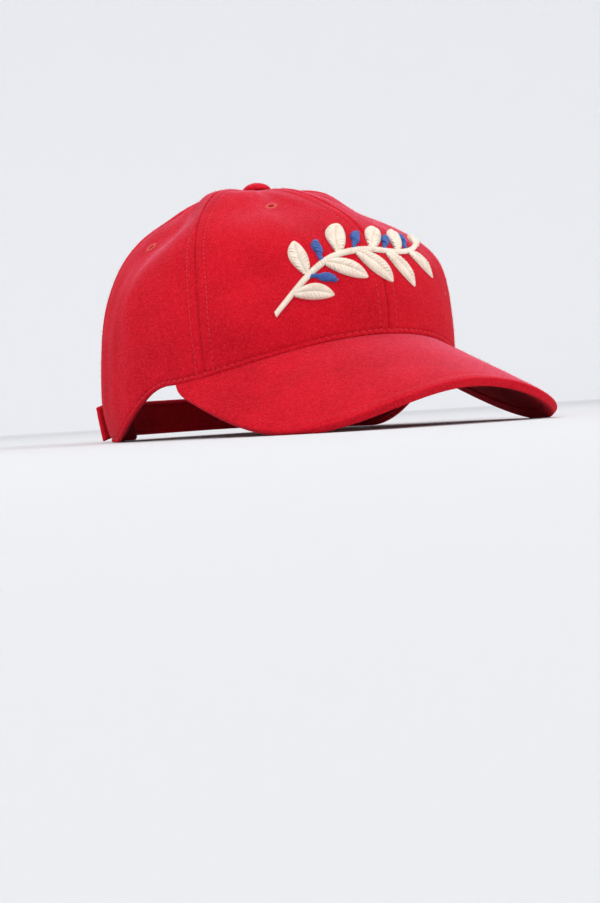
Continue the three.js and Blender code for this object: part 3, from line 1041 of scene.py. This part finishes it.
def eyeletTree():
    tree, given, result = newTree("eyeletWreath", "GeometryNodeTree", {
        "Core": "Geometry",
        "Threads": "Int",
        "Middle Radius": "Float",
        "Thread Size": "Vector",
        "Thread": "Material",
    }, {"Wreath": "Geometry"})
    circle = addNode(tree, "GeometryNodeMeshCircle", {
        "Vertices": given["Threads"], "Radius": given["Middle Radius"],
    })
    place = addNode(tree, "GeometryNodeInputPosition").outputs[0]
    turn = addNode(tree, "FunctionNodeAlignRotationToVector", {"Vector": place}, axis="X", pivot_axis="Z")
    bead = addNode(tree, "GeometryNodeMeshUVSphere", {"Segments": 10, "Rings": 7, "Radius": 0.5})
    varied = addNode(tree, "ShaderNodeVectorMath", {
        0: given["Thread Size"], "Scale": randomValue(tree, 0.9, 1.1, 4),
    }, operation="SCALE")
    placed = addNode(tree, "GeometryNodeInstanceOnPoints", {
        "Points": circle.outputs[0], "Instance": bead.outputs[0],
        "Rotation": turn.outputs[0], "Scale": varied.outputs[0],
    })
    joined = addNode(tree, "GeometryNodeJoinGeometry")
    tree.links.new(given["Core"], joined.inputs[0])
    tree.links.new(placed.outputs[0], joined.inputs[0])
    return closeTree(tree, joined.outputs[0], given["Thread"], result)


# Rings of a profile of radii and heights, turned round the Z axis
def turned(profile, turns):
    return np.stack([
        np.stack([profile[:, 0] * math.cos(t), profile[:, 0] * math.sin(t), profile[:, 1]], 1) for t in turns
    ])


# The wreath's core: a tube through the cloth with a low rim over its edge
def eyeletCore(name):
    bore = eyelet["bore"]
    profile = np.array([
        [bore, -2.0], [bore, -0.6], [bore, 0.2], [1.7, 0.42], [2.2, 0.5], [2.8, 0.4], [3.2, 0.1],
        [3.25, -0.3], [2.9, -0.35], [2.2, -0.35], [2.05, -0.5], [2.05, -1.2], [2.05, -1.8], [1.8, -2.0],
    ])
    piece = loft(name, turned(profile, fullTurn(eyelet["columns"])), eyeletThread, closedRun=True)
    piece.data.transform(Matrix.Translation((0, -ringY, 0)))
    return piece


wreath = eyeletTree()
for gore in gores:
    for hand in hands:
        piece = eyeletCore("eyelet" + gore["name"].capitalize() + hand.capitalize())
        grow(piece, wreath, {
            "Threads": eyelet["threads"],
            "Middle Radius": eyelet["threadMiddle"] * mm,
            "Thread Size": [size * mm for size in eyelet["threadSize"]],
            "Thread": eyeletThread,
        })
        angle, rise = eyeletPlace(gore, hand)
        point, normal, _ = crownFrame(angle, rise)
        point = toRow(point + normal * (clothWave(angle, rise) + eyelet["lift"]))
        turn = Vector(normal).to_track_quat("Z", "Y").to_matrix().to_4x4()
        piece.data.transform(Matrix.Translation(point) @ turn)
        enter(piece, "eyelet_%s_%s" % (gore["name"], hand))
print("eyelets sewn")


# Button: a cloth covered dome, gathered underneath

button = {
    "columns": 72,
    "gathers": 11,
    "gatherDepth": 0.16,
    "gatherDrift": 0.6,
    "driftTurns": 3,
    "gatherHeights": (3.0, 0.6),
    "gatherRadii": (4.5, 6.5),
}


def makeButton():
    profile = np.array([
        [0.05, 4.15], [0.9, 4.11], [1.8, 4.0], [2.7, 3.81], [3.6, 3.54], [4.4, 3.22], [5.1, 2.86], [5.8, 2.4],
        [6.4, 1.88], [6.85, 1.35], [7.05, 0.9], [6.9, 0.45], [6.5, 0.12], [5.6, 0.0], [3.0, 0.0], [0.05, 0.0],
    ])
    low = smoothStep(*button["gatherHeights"], profile[:, 1])
    low = low * smoothStep(*button["gatherRadii"], profile[:, 0])
    rings = []
    for turn in fullTurn(button["columns"]):
        drift = button["gatherDrift"] * math.sin(button["driftTurns"] * turn)
        gather = button["gatherDepth"] * math.sin(button["gathers"] * turn + drift)
        rings += [*turned(profile + np.stack([gather * low, 0 * low], 1), [turn])]
    rings = np.array(rings) + np.array([0, crown["topSetback"], crown["height"] + seamGap])
    enter(loft("topButton", rings, meltonRed, closedRun=True), "top_button")


makeButton()
print("button covered")


# Peak: a stiff board whose upper cloth rolls round the rim and meets the under cloth a little way in

peakLook = {
    "rows": 64,
    "rowCrowding": 1.25,
    "rimSteps": 16,
    "turnIn": 4.4,  # how far the upper cloth reaches under the rim
    "turnInRows": (0, 0.35, 0.7, 0.93),
    "lip": 0.35,
    "underGap": 0.45,
    "underSteps": 6,
    "rimSquareness": 5.5,
    "rimShare": 0.3,  # at most this share of the peak's reach, which is short at the corners
    "turnInShare": 0.55,
    "rimSwell": (0.12, 2.6, 1.4),  # height, place from the rim and width
    "rimCrease": (0.05, 5.6, 1.4),
    "wave": 0.14,
    "waveTurns": ((0.11, 0.07, 0), (0.06, -0.13, 1)),
    "waveEnd": (0.88, 0.97),
    "waveCorner": 12,
    "uprightFrom": 0.9,  # the edge stands upright where it is sewn to the crown
    "cornerReach": 9,
    "cornerLeast": 0.01,
    "rimSamples": 2001,
}


def evenTurns(columns):
    fine = np.radians(np.linspace(-90, 90, peakLook["rimSamples"]))
    run = runLength(np.stack(peakRim(fine, 0), 1))
    return np.interp(np.linspace(0, run[-1], columns + 1), run, fine)


peakTurns = evenTurns(peak["columns"])


def peakPlan(inset, share):
    angle = peakTurns / (math.pi / 2) * math.radians(peak["corner"])
    x, y = peakRim(peakTurns, inset)
    rootX = (crown["halfWidth"] - clothThickness) * np.sin(angle)
    rootY = -(crown["halfLength"] - clothThickness) * np.cos(angle)
    return mix(x, rootX, share), mix(y, rootY, share)


# A row of points along the peak: share 0 at the rim, 1 where it is sewn to the crown
def peakRow(inset, share, depth):
    x, y = peakPlan(inset, share)
    normal = peakNormal(x)
    upright = np.stack([0 * x, 0 * x, 1 / normal[:, 2]], -1)
    lean = mix(normal, upright, smoothStep(peakLook["uprightFrom"], 1, share))
    point = np.stack([x, y, peakTop(x, y)], -1) - lean * np.broadcast_to(depth, x.shape)[:, None]
    point[:, 2] = point[:, 2].clip(tableGap)
    return point


peakReach = np.linalg.norm(np.subtract(peakPlan(0, 0), peakPlan(0, 1)), axis=0)
rimRadius = np.minimum(peakDepth / 2, peakLook["rimShare"] * peakReach)
turnIn = np.minimum(peakLook["turnIn"], peakLook["turnInShare"] * peakReach)


def peakRelief(share):
    x, y = peakPlan(rimRadius, share)
    inset = rimRadius + share * peakReach
    swell, *swellPlace = peakLook["rimSwell"]
    crease, *creasePlace = peakLook["rimCrease"]
    edge = swell * hump(inset, *swellPlace) - crease * hump(inset, *creasePlace)
    wave = peakLook["wave"]
    for across, along, start in peakLook["waveTurns"]:
        wave = wave * np.sin(across * x + along * y + start)
    fade = (1 - smoothStep(*peakLook["waveEnd"], share)) * smoothStep(0, peakLook["waveCorner"], peakReach)
    return (edge + wave) * fade


# The corners run out to a rounded point where they are sewn under the crown
def roundCorners(rings):
    run = runLength(np.stack(peakRim(peakTurns, 0), 1))
    share = (np.minimum(run, run[-1] - run) / peakLook["cornerReach"]).clip(peakLook["cornerLeast"], 1)
    size = np.sqrt(1 - (1 - share) ** 2)[:, None, None]
    return mix(rings[:, :1], rings, size)


def makePeakUpper():
    crowding = peakLook["rowCrowding"]
    rows = []
    for share in np.linspace(1, 0, peakLook["rows"]) ** crowding:
        rows.append(peakRow(rimRadius, share, -peakRelief(share)))
    power = 2 / peakLook["rimSquareness"]
    for turn in np.linspace(0, math.pi, peakLook["rimSteps"] + 2)[1:-1]:
        down = 1 - math.copysign(abs(math.cos(turn)) ** power, math.cos(turn))
        rows.append(peakRow(rimRadius * (1 - math.sin(turn) ** power), 0, peakDepth / 2 * down))
    for share in peakLook["turnInRows"]:
        rows.append(peakRow(mix(rimRadius, turnIn, share), 0, peakDepth))
    rows.append(peakRow(turnIn, 0, peakDepth - peakLook["lip"]))
    rows.append(peakRow(turnIn, 0, peak["upper"]))
    behind = peakLook["rows"] - len(peakLook["turnInRows"]) - 2  # each row has its partner across the board
    for share in np.linspace(0, 1, behind + 1)[1:] ** crowding:
        rows.append(peakRow(turnIn, share, peak["upper"]))
    return loft("peakUpper", roundCorners(np.stack(rows, 1)), meltonRed)


def makePeakUnder():
    half = peak["under"] / 2
    level = peak["upper"] + seamGap
    edge = turnIn + peakLook["underGap"] + half
    shares = np.linspace(1, 0, peakLook["rows"]) ** peakLook["rowCrowding"]
    rows = [peakRow(edge, share, level) for share in shares]
    for turn in np.linspace(0, math.pi, peakLook["underSteps"] + 2)[1:-1]:
        rows.append(peakRow(edge - half * math.sin(turn), 0, level + half * (1 - math.cos(turn))))
    rows += [peakRow(edge, share, peakDepth) for share in shares[::-1]]
    return loft("peakUnder", roundCorners(np.stack(rows, 1)), meltonUnder)


enter(makePeakUpper(), "peak_upper")
enter(makePeakUnder(), "peak_under")
print("peak covered")


# Strips of cloth with rounded edges: rows of points across, with their normals
def stripRings(outer, normal, thickness, steps=6):
    first = rolledEdge(outer[:, 0], normal[:, 0], unit(outer[:, 0] - outer[:, 1]), thickness, steps)[:, ::-1]
    last = rolledEdge(outer[:, -1], normal[:, -1], unit(outer[:, -1] - outer[:, -2]), thickness, steps)
    inner = (outer - normal * thickness)[:, ::-1]
    return np.concatenate([first[:, steps // 2:], outer, last, inner, first[:, : steps // 2]], 1)


# Sweatband: cotton twill sewn in along the lower edge

band = {
    "low": 1.0,
    "high": 27.0,
    "gap": 0.55,
    "thickness": 1.4,
    "end": 150,
    "columns": 320,
    "rows": 26,
    "wave": 0.12,
    "waveTurns": 23,
    "waveLean": 0.2,
    "waveStart": (3, 9),
    "stitchRow": 3,
    "threadLift": 0.02,
}
bandStitch = {"pitch": 2.8, "length": 2.1, "width": 0.45}


def makeBand():
    angle = np.radians(np.linspace(-band["end"], band["end"], band["columns"]))[:, None]
    inset = band["thickness"] / 2
    height = np.linspace(band["high"] - inset, band["low"] + inset, band["rows"])[None]
    rise = riseAbove(angle, height)
    point, normal, _ = crownFrame(np.broadcast_to(angle, rise.shape), rise)
    wave = np.sin(band["waveTurns"] * angle + band["waveLean"] * height)
    wave = wave * smoothStep(*band["waveStart"], height)
    behind = clothThickness + band["gap"] + np.abs(band["wave"] * wave)
    outer = point + normal * (clothWave(angle, rise) - behind)[..., None]
    piece = loft("sweatBand", stripRings(outer, normal, band["thickness"]), bandCotton)
    enter(piece, "sweatband")
    inward = -normal[:, band["stitchRow"]]
    return [(outer[:, band["stitchRow"]] + inward * (band["thickness"] + band["threadLift"]), inward)]


stitchRows("bandStitches", makeBand(), bandStitch)
print("sweatband sewn in")


# Back strap: doubled wool with a stitch row along each edge and a free tail past the slide

strap = {
    "width": 18,
    "thickness": 2.6,
    "low": 3.2,
    "rest": 1.0,
    "from": 146,
    "slideAngle": 148,
    "lift": (0.2, 0.8),
    "tail": 17,
    "droop": 2.0,
    "bendColumns": 150,
    "tailColumns": 60,
    "rows": 40,
    "rowInset": 2.3,
    "rowDepth": 0.3,
    "rowWidth": 0.7,
    "rowEnd": 5,
    "threadSunk": 0.1,
    "endLeast": 0.03,
}
slide = {"length": 6, "wall": 1.2, "corner": 1.0, "wallCorner": 0.42, "cornerSteps": 7}


def strapPoint(share, across, depth):
    angle = math.radians(strap["from"]) + math.radians(360 - strap["from"] - strap["slideAngle"]) * share
    lift = mix(strap["rest"], strap["rest"] + slide["wall"] + seamGap, smoothStep(*strap["lift"], share))
    middle = riseAbove(angle, strap["low"] + strap["width"] / 2)
    _, outward, _ = crownFrame(angle, middle)
    low = crownPoint(angle, riseAbove(angle, strap["low"]))
    high = crownPoint(angle, riseAbove(angle, strap["low"] + strap["width"]))
    place = mix(low[:, None], high[:, None], np.asarray(across)[None, :, None])
    return place + (outward * (lift + depth)[:, None])[:, None]


nearEnd = strapPoint(np.array([1 - smallStep, 1]), [0.5], 0)[:, 0]
tailAlong = unit((nearEnd[1] - nearEnd[0]) * np.array([1, 1, 0]))


# Columns run from 0 to 1 along the bend and on to 2 along the tail
def strapSurface(columns, across, depth):
    past = (columns - 1).clip(0)[:, None, None]
    point = strapPoint(columns.clip(0, 1), across, depth)
    return point + tailAlong * past * (strap["tail"] + slide["length"] / 2) - [0, 0, strap["droop"]] * past**2


def makeStrap():
    thickness, middleRow = strap["thickness"], strap["rows"] // 2
    edge = thickness / 2 / strap["width"]
    across = np.linspace(1 - edge, edge, strap["rows"])
    columns = np.concatenate([
        np.linspace(0, 1, strap["bendColumns"])[:-1], np.linspace(1, 2, strap["tailColumns"]),
    ])
    outer = strapSurface(columns, across, thickness)
    normal = unit(outer - strapSurface(columns, across, 0))
    run = runLength(outer[:, middleRow])
    pull = stitchPull(run, run[-1], seamStitch["pitch"])
    fromEdge = np.minimum(across, 1 - across) * strap["width"]
    dent = strap["rowDepth"] * hump(fromEdge, strap["rowInset"], strap["rowWidth"])[None] * pull[:, None]
    rings = stripRings(outer - normal * dent[..., None], normal, thickness)
    middle = (rings + rings[:, ::-1]) / 2
    toEnd = np.minimum(run, run[-1] - run) / (thickness / 2)
    rounding = np.sqrt(1 - (1 - toEnd.clip(strap["endLeast"], 1)) ** 2)
    rings = middle + (rings - middle) * rounding[:, None, None]
    enter(loft("backStrap", rings, meltonRed), "back_strap")
    share = strap["rowInset"] / strap["width"]
    sewn = slice(strap["rowEnd"], -strap["rowEnd"])
    rows = strapSurface(columns, [share, 1 - share], thickness - strap["threadSunk"])[sewn]
    return [(rows[:, i], normal[sewn, middleRow]) for i in (0, 1)]


stitchRows("strapStitches", makeStrap(), seamStitch)


def slideMaterial():
    material, tree, inputs = newMaterial("slideBrass", {"Metallic": 1})
    wear = noise(tree, objectPlace(tree), 420.0, 5.0)
    colour = colourRamp(tree, wear, ((0.36, 0.27, 0.13, 1), (0.62, 0.5, 0.29, 1)))
    tree.links.new(colour, inputs["Base Color"])
    tree.links.new(ranged(tree, wear, 0.0, 1.0, 0.28, 0.46), inputs["Roughness"])
    return material


# Points round a rectangle with rounded corners, and the way out at each
def roundedRectangle(halfWidth, halfHeight, corner):
    points, outs = [], []
    for quarter, (signX, signY) in enumerate(((1, -1), (1, 1), (-1, 1), (-1, -1))):
        end = quarter * math.pi / 2
        middle = np.array([signX * (halfWidth - corner), signY * (halfHeight - corner)])
        for turn in np.linspace(end - math.pi / 2, end, slide["cornerSteps"]):
            out = np.array([math.cos(turn), math.sin(turn)])
            points.append(middle + corner * out)
            outs.append(out)
    return np.array(points), np.array(outs)


def makeSlide():
    half = np.array([strap["thickness"] / 2, strap["width"] / 2]) + seamGap + slide["wall"] / 2
    path, outs = roundedRectangle(*half, slide["corner"])
    section, _ = roundedRectangle(slide["wall"] / 2, slide["length"] / 2, slide["wallCorner"])
    low, high = strapPoint(np.array([1.0]), [0, 1], strap["thickness"] / 2)[0]
    up = unit(high - low)
    out = unit(np.cross(up, tailAlong))
    rings = []
    for place, away in zip(path, outs):
        flat = place[None] + away[None] * section[:, :1]
        rings.append((low + high) / 2 + flat[:, :1] * out + flat[:, 1:] * up + section[:, 1:] * tailAlong)
    piece = loft("strapSlide", np.array(rings), slideMaterial(), closedRun=True)
    enter(piece, "strap_slide")


makeSlide()
print("strap and slide fitted")


# Embroidery on the front: a leafy sprig in cream with blue buds, in raised satin stitch

sprig = {
    "angle": -5,
    "height": 79,
    "rises": (0.05, 0.95),
    "riseSamples": 400,
    "from": (-47, -19),
    "to": (45, 21),
    "sway": 9,
    "swayTurns": 0.8,
    "pitch": 0.85,
    "radius": 0.47,
    "sides": 6,
    "steps": 9,
    "lift": 0.1,
    "uneven": 0.08,
    "seed": 7,
    "between": 0.2,  # how much lower every other thread lies
    "shortest": 0.3,
    "fullSpan": 4,  # shorter threads lie over a lower pad
    "slant": 0.6,
    "stemWidth": 2.7,
    "stemPad": 1.6,
    "stemForm": (0.55, 0.45, 0.12, 0.76),  # least width, swell, and where along the swell it starts and runs
    "stemSamples": 200,
    "headingStep": 0.01,
    "leaves": 9,
    "leafRun": (0.09, 0.85),
    "leafTurn": 52,
    "leafLength": 23.5,
    "leafWidth": 4.4,
    "leafSizes": (0.76, 0.24),  # least, and how much more in the middle of the stem
    "leafSewn": (0.02, 0.98),
    "leafForm": (0.85, 0.8),  # lean to the root, and fullness
    "leafBow": 1.3,
    "leafSlant": (0.2, 0.55),
    "leafPad": 1.5,
    "tipPlace": 0.99,
    "tipHeading": 0.98,
    "tipLength": 15,
    "tipWidth": 3.4,
    "budAhead": 0.095,
    "budTurn": 55,
    "budLength": 13.5,
    "budWidth": 4.4,
    "budPad": 1.7,
    "budForm": (0.3, 0.7, 0.28, 0.8),  # length of the neck and of the head, width of the neck, fullness
    "budSamples": 30,
}
sprigMiddle = math.radians(sprig["angle"])
sprigRises = np.linspace(*sprig["rises"], sprig["riseSamples"])
sprigColumn = crownPoint(sprigMiddle, sprigRises)
sprigRun = runLength(sprigColumn)


# From flat millimetres across and up to the cloth of the front
def onFront(u, v, lift):
    start = np.interp(sprig["height"], sprigColumn[:, 2], sprigRun)
    rise = np.interp(v + start, sprigRun, sprigRises)
    _, _, stretch = crownFrame(sprigMiddle + 0 * rise, rise)
    angle = sprigMiddle + u / stretch
    point, normal, _ = crownFrame(angle, rise)
    return point + normal * (lift + clothWave(angle, rise))[..., None], normal


def stemPoint(share):
    share = np.asarray(share)
    line = [mix(a, b, share) for a, b in zip(sprig["from"], sprig["to"])]
    sway = sprig["sway"] * np.sin(2 * math.pi * sprig["swayTurns"] * share)
    return np.stack([line[0], line[1] + sway], -1)


def stemHeading(share):
    step = stemPoint(share + sprig["headingStep"]) - stemPoint(share - sprig["headingStep"])
    return math.atan2(step[1], step[0])


def direction(turn):
    return np.array([math.cos(turn), math.sin(turn)])


# Satin threads between two edges, each domed over a pad
def satinThreads(threads, left, right, pad):
    for a, b in zip(left, right):
        span = np.linalg.norm(b - a)
        if span > sprig["shortest"]:
            threads.append((a, b, pad * min(span / sprig["fullSpan"], 1)))


def sewLeaf(threads, root, turn, length, width):
    along, side = direction(turn), direction(turn + math.pi / 2)
    share = np.linspace(*sprig["leafSewn"], int(length / sprig["pitch"]))
    bow = sprig["leafBow"] * np.sin(math.pi * share)
    rib = root + along * (share * length)[:, None] + side * bow[:, None]
    lean, fullness = sprig["leafForm"]
    half = (width * np.sin(math.pi * share**lean) ** fullness)[:, None]
    back, ahead = sprig["leafSlant"]
    for sign in (-1, 1):
        edge = rib + along * half * ahead + side * half * sign
        satinThreads(threads, rib - along * half * back, edge, sprig["leafPad"])


def stemHalf(share):
    least, swell, start, run = sprig["stemForm"]
    return sprig["stemWidth"] / 2 * (least + swell * np.sin(math.pi * (start + run * share)))


def budHalf(share):
    neck, head, thin, fullness = sprig["budForm"]
    along = np.clip((share - neck) / head, 0, 1)
    return sprig["budWidth"] / 2 * np.sin(math.pi * along).clip(thin) ** fullness


# A band of slanted threads along a curve
def sewBand(threads, curve, halfWidth, pad):
    run = runLength(curve)
    even = np.arange(0, run[-1], sprig["pitch"])
    point = np.stack([np.interp(even, run, curve[:, axis]) for axis in (0, 1)], 1)
    along = unit(np.gradient(point, axis=0))
    side = np.stack([-along[:, 1], along[:, 0]], 1)
    slant = (side + along * sprig["slant"]) * halfWidth(even / run[-1])[:, None]
    satinThreads(threads, point - slant, point + slant, pad)


def sewBud(threads, foot, turn):
    share = np.linspace(0, 1, sprig["budSamples"])[:, None]
    bow = direction(turn + math.pi / 2) * np.sin(math.pi * share)
    sewBand(threads, foot + direction(turn) * share * sprig["budLength"] + bow, budHalf, sprig["budPad"])


def sewSprig(cream, blue):
    sewBand(cream, stemPoint(np.linspace(0, 1, sprig["stemSamples"])), stemHalf, sprig["stemPad"])
    tip, heading = stemPoint(sprig["tipPlace"]), stemHeading(sprig["tipHeading"])
    sewLeaf(cream, tip, heading, sprig["tipLength"], sprig["tipWidth"])
    least, more = sprig["leafSizes"]
    for i, share in enumerate(np.linspace(*sprig["leafRun"], sprig["leaves"])):
        side = 1 if i % 2 else -1
        size = least + more * math.sin(math.pi * share)
        turn = stemHeading(share) + side * math.radians(sprig["leafTurn"])
        sewLeaf(cream, stemPoint(share), turn, sprig["leafLength"] * size, sprig["leafWidth"] * size)
        if side > 0 or i == 0:
            ahead = share + sprig["budAhead"]
            turn = stemHeading(ahead) + side * math.radians(sprig["budTurn"])
            sewBud(blue, stemPoint(ahead), turn)


def layThreads(name, threads, material):
    starts, ends, pads = (np.array(column) for column in zip(*threads))
    across = np.linspace(0, 1, sprig["steps"])
    flat = mix(starts[:, None], ends[:, None], across[None, :, None])
    loose = 1 + sprig["uneven"] * np.random.default_rng(sprig["seed"]).uniform(-1, 1, len(threads))
    loose[1::2] -= sprig["between"]
    dome = np.sqrt(1 - (2 * across - 1) ** 2)[None] * (pads * loose)[:, None]
    points, normals = onFront(flat[..., 0], flat[..., 1], sprig["lift"] + dome)
    piece = threadLines(name, list(points), list(normals))
    grow(piece, laidThread, {"Radius": sprig["radius"] * mm, "Sides": sprig["sides"], "Thread": material})
    enter(piece)


creamLines = []
blueLines = []
sewSprig(creamLines, blueLines)
layThreads("sprigLeaves", creamLines, creamThread)
layThreads("sprigBuds", blueLines, blueThread)
print("embroidery sewn")


# Nap: loose fibres over the outside of the wool

nap = {
    "Middle": (0, ringY, -0.02),
    "Lowest": 2.5 * mm,
    "Density": 400000.0,
    "Length": 1.1 * mm,
    "Width": 0.08 * mm,
    "Lean": 1.15,
    "Fibre": looseWoolPaintedHighlight,
}


def growNap(cloth):
    piece = addObject(cloth.name + "Nap", cloth.data.copy())
    grow(piece, looseFibre, nap)
    enter(piece)


meshes = [piece for piece in bpy.context.scene.objects if piece.type == "MESH"]
for piece in meshes:
    if meltonRed.name in piece.data.materials:
        growNap(piece)
print("nap raised")


# Studio: a pale floor that curves up all round, soft light and the photo's point of view

studio = {
    "rings": (0.4, 1.2),
    "flat": 2.2,
    "curve": 1.2,
    "curveSteps": 18,
    "columnTurn": 5,
    "top": 2.6,
    "paleFrom": (1.2, 2.2),
    "near": (0.66, 0.665, 0.68, 1),  # the floor gets more light than the wall
    "far": (0.925, 0.93, 0.945, 1),
    "sky": (0.97, 0.98, 1, 1),
    "skyStrength": 0.75,
    "lampTarget": (0, 0, 0.06),
}


def paleMaterial():
    material, tree, inputs = newMaterial("palePaper", {"Roughness": 0.9, "Specular IOR Level": 0.1})
    place = objectPlace(tree)
    flat = addNode(tree, "ShaderNodeVectorMath", {0: place, 1: (1, 1, 0)}, operation="MULTIPLY").outputs[0]
    away = addNode(tree, "ShaderNodeVectorMath", {0: flat}, operation="LENGTH").outputs["Value"]
    uneven = calc(tree, "MULTIPLY_ADD", noise(tree, place, 30.0, 4.0), 0.04, away)
    level = ranged(tree, uneven, *studio["paleFrom"], smooth=True)
    tree.links.new(colourRamp(tree, level, (studio["near"], studio["far"])), inputs["Base Color"])
    return material


def makeFloor():
    turns = np.radians(np.linspace(0, 90, studio["curveSteps"] + 1)[1:])
    flat, curve = studio["flat"], studio["curve"]
    radius = np.concatenate([[*studio["rings"], flat], flat + curve * np.sin(turns), [flat + curve]])
    height = np.concatenate([[0, 0, 0], curve * (1 - np.cos(turns)), [studio["top"]]])
    around = np.radians(np.arange(0, 360, studio["columnTurn"]))
    points = [(0, 0, 0)]
    for r, z in zip(radius, height):
        points += [(r * math.cos(t), r * math.sin(t), z) for t in around]
    here = np.arange(len(around))
    after = np.roll(here, -1)
    faces = [(0, 1 + a, 1 + b) for a, b in zip(here, after)]
    for ring in range(len(radius) - 1):
        start = 1 + ring * len(around)
        outside = start + len(around)
        faces += np.stack([start + here, outside + here, outside + after, start + after], 1).tolist()
    mesh = bpy.data.meshes.new("floor")
    mesh.from_pydata(points, [], faces)
    mesh.shade_smooth()
    mesh.materials.append(paleMaterial())
    addObject("floor", mesh)


lamps = [
    {"name": "keyLamp", "place": (-1.4, -0.2, 2.0), "size": 1.5, "power": 16, "spread": 180},
    {"name": "topLamp", "place": (-0.3, 0.1, 2.6), "size": 2.2, "power": 16.5, "spread": 180},
    {"name": "fillLamp", "place": (1.3, -1.7, 0.95), "size": 1.2, "power": 2.5, "spread": 60},
    {"name": "frontLamp", "place": (-1.4, -2.3, 0.8), "size": 1.0, "power": 1.5, "spread": 60},
]


def makeLamps():
    for lamp in lamps:
        light = bpy.data.lights.new(lamp["name"], "AREA")
        light.shape = "DISK"
        light.size = lamp["size"]
        light.energy = lamp["power"]
        light.spread = math.radians(lamp["spread"])
        holder = addObject(lamp["name"], light)
        toward = Vector(studio["lampTarget"]) - Vector(lamp["place"])
        holder.location = lamp["place"]
        holder.rotation_euler = toward.to_track_quat("-Z", "Y").to_euler()
    world = bpy.data.worlds.new("studio")
    world.use_nodes = True
    inputs = world.node_tree.nodes["Background"].inputs
    inputs["Color"].default_value = studio["sky"]
    inputs["Strength"].default_value = studio["skyStrength"]
    bpy.context.scene.world = world
    bpy.context.scene.view_settings.view_transform = "Standard"


viewpoint = {
    "azimuth": -33.938,
    "elevation": 0.6,
    "roll": 3.509,
    "distance": 1.0827,
    "lens": 84.7,
    "sensor": 36,
    "nearest": 0.002,
    "shift": (0.0212, -0.0213),
}


def makeCamera():
    a, e, r = (math.radians(viewpoint[key]) for key in ("azimuth", "elevation", "roll"))
    right = Vector((math.cos(a), math.sin(a), 0))
    back = Vector((math.sin(a) * math.cos(e), -math.cos(a) * math.cos(e), math.sin(e)))
    up = back.cross(right)
    rolledRight = right * math.cos(r) - up * math.sin(r)
    rolledUp = up * math.cos(r) + right * math.sin(r)
    camera = bpy.data.cameras.new("photoCamera")
    camera.sensor_fit = "VERTICAL"
    camera.sensor_height = viewpoint["sensor"]
    camera.lens = viewpoint["lens"]
    camera.clip_start = viewpoint["nearest"]
    camera.shift_x, camera.shift_y = viewpoint["shift"]
    holder = addObject("photoCamera", camera)
    turn = Matrix((rolledRight, rolledUp, back)).transposed().to_4x4()
    holder.matrix_world = Matrix.Translation(Vector((0, ringY, 0)) + back * viewpoint["distance"]) @ turn
    bpy.context.scene.camera = holder


makeFloor()
makeLamps()
makeCamera()
print("studio set")
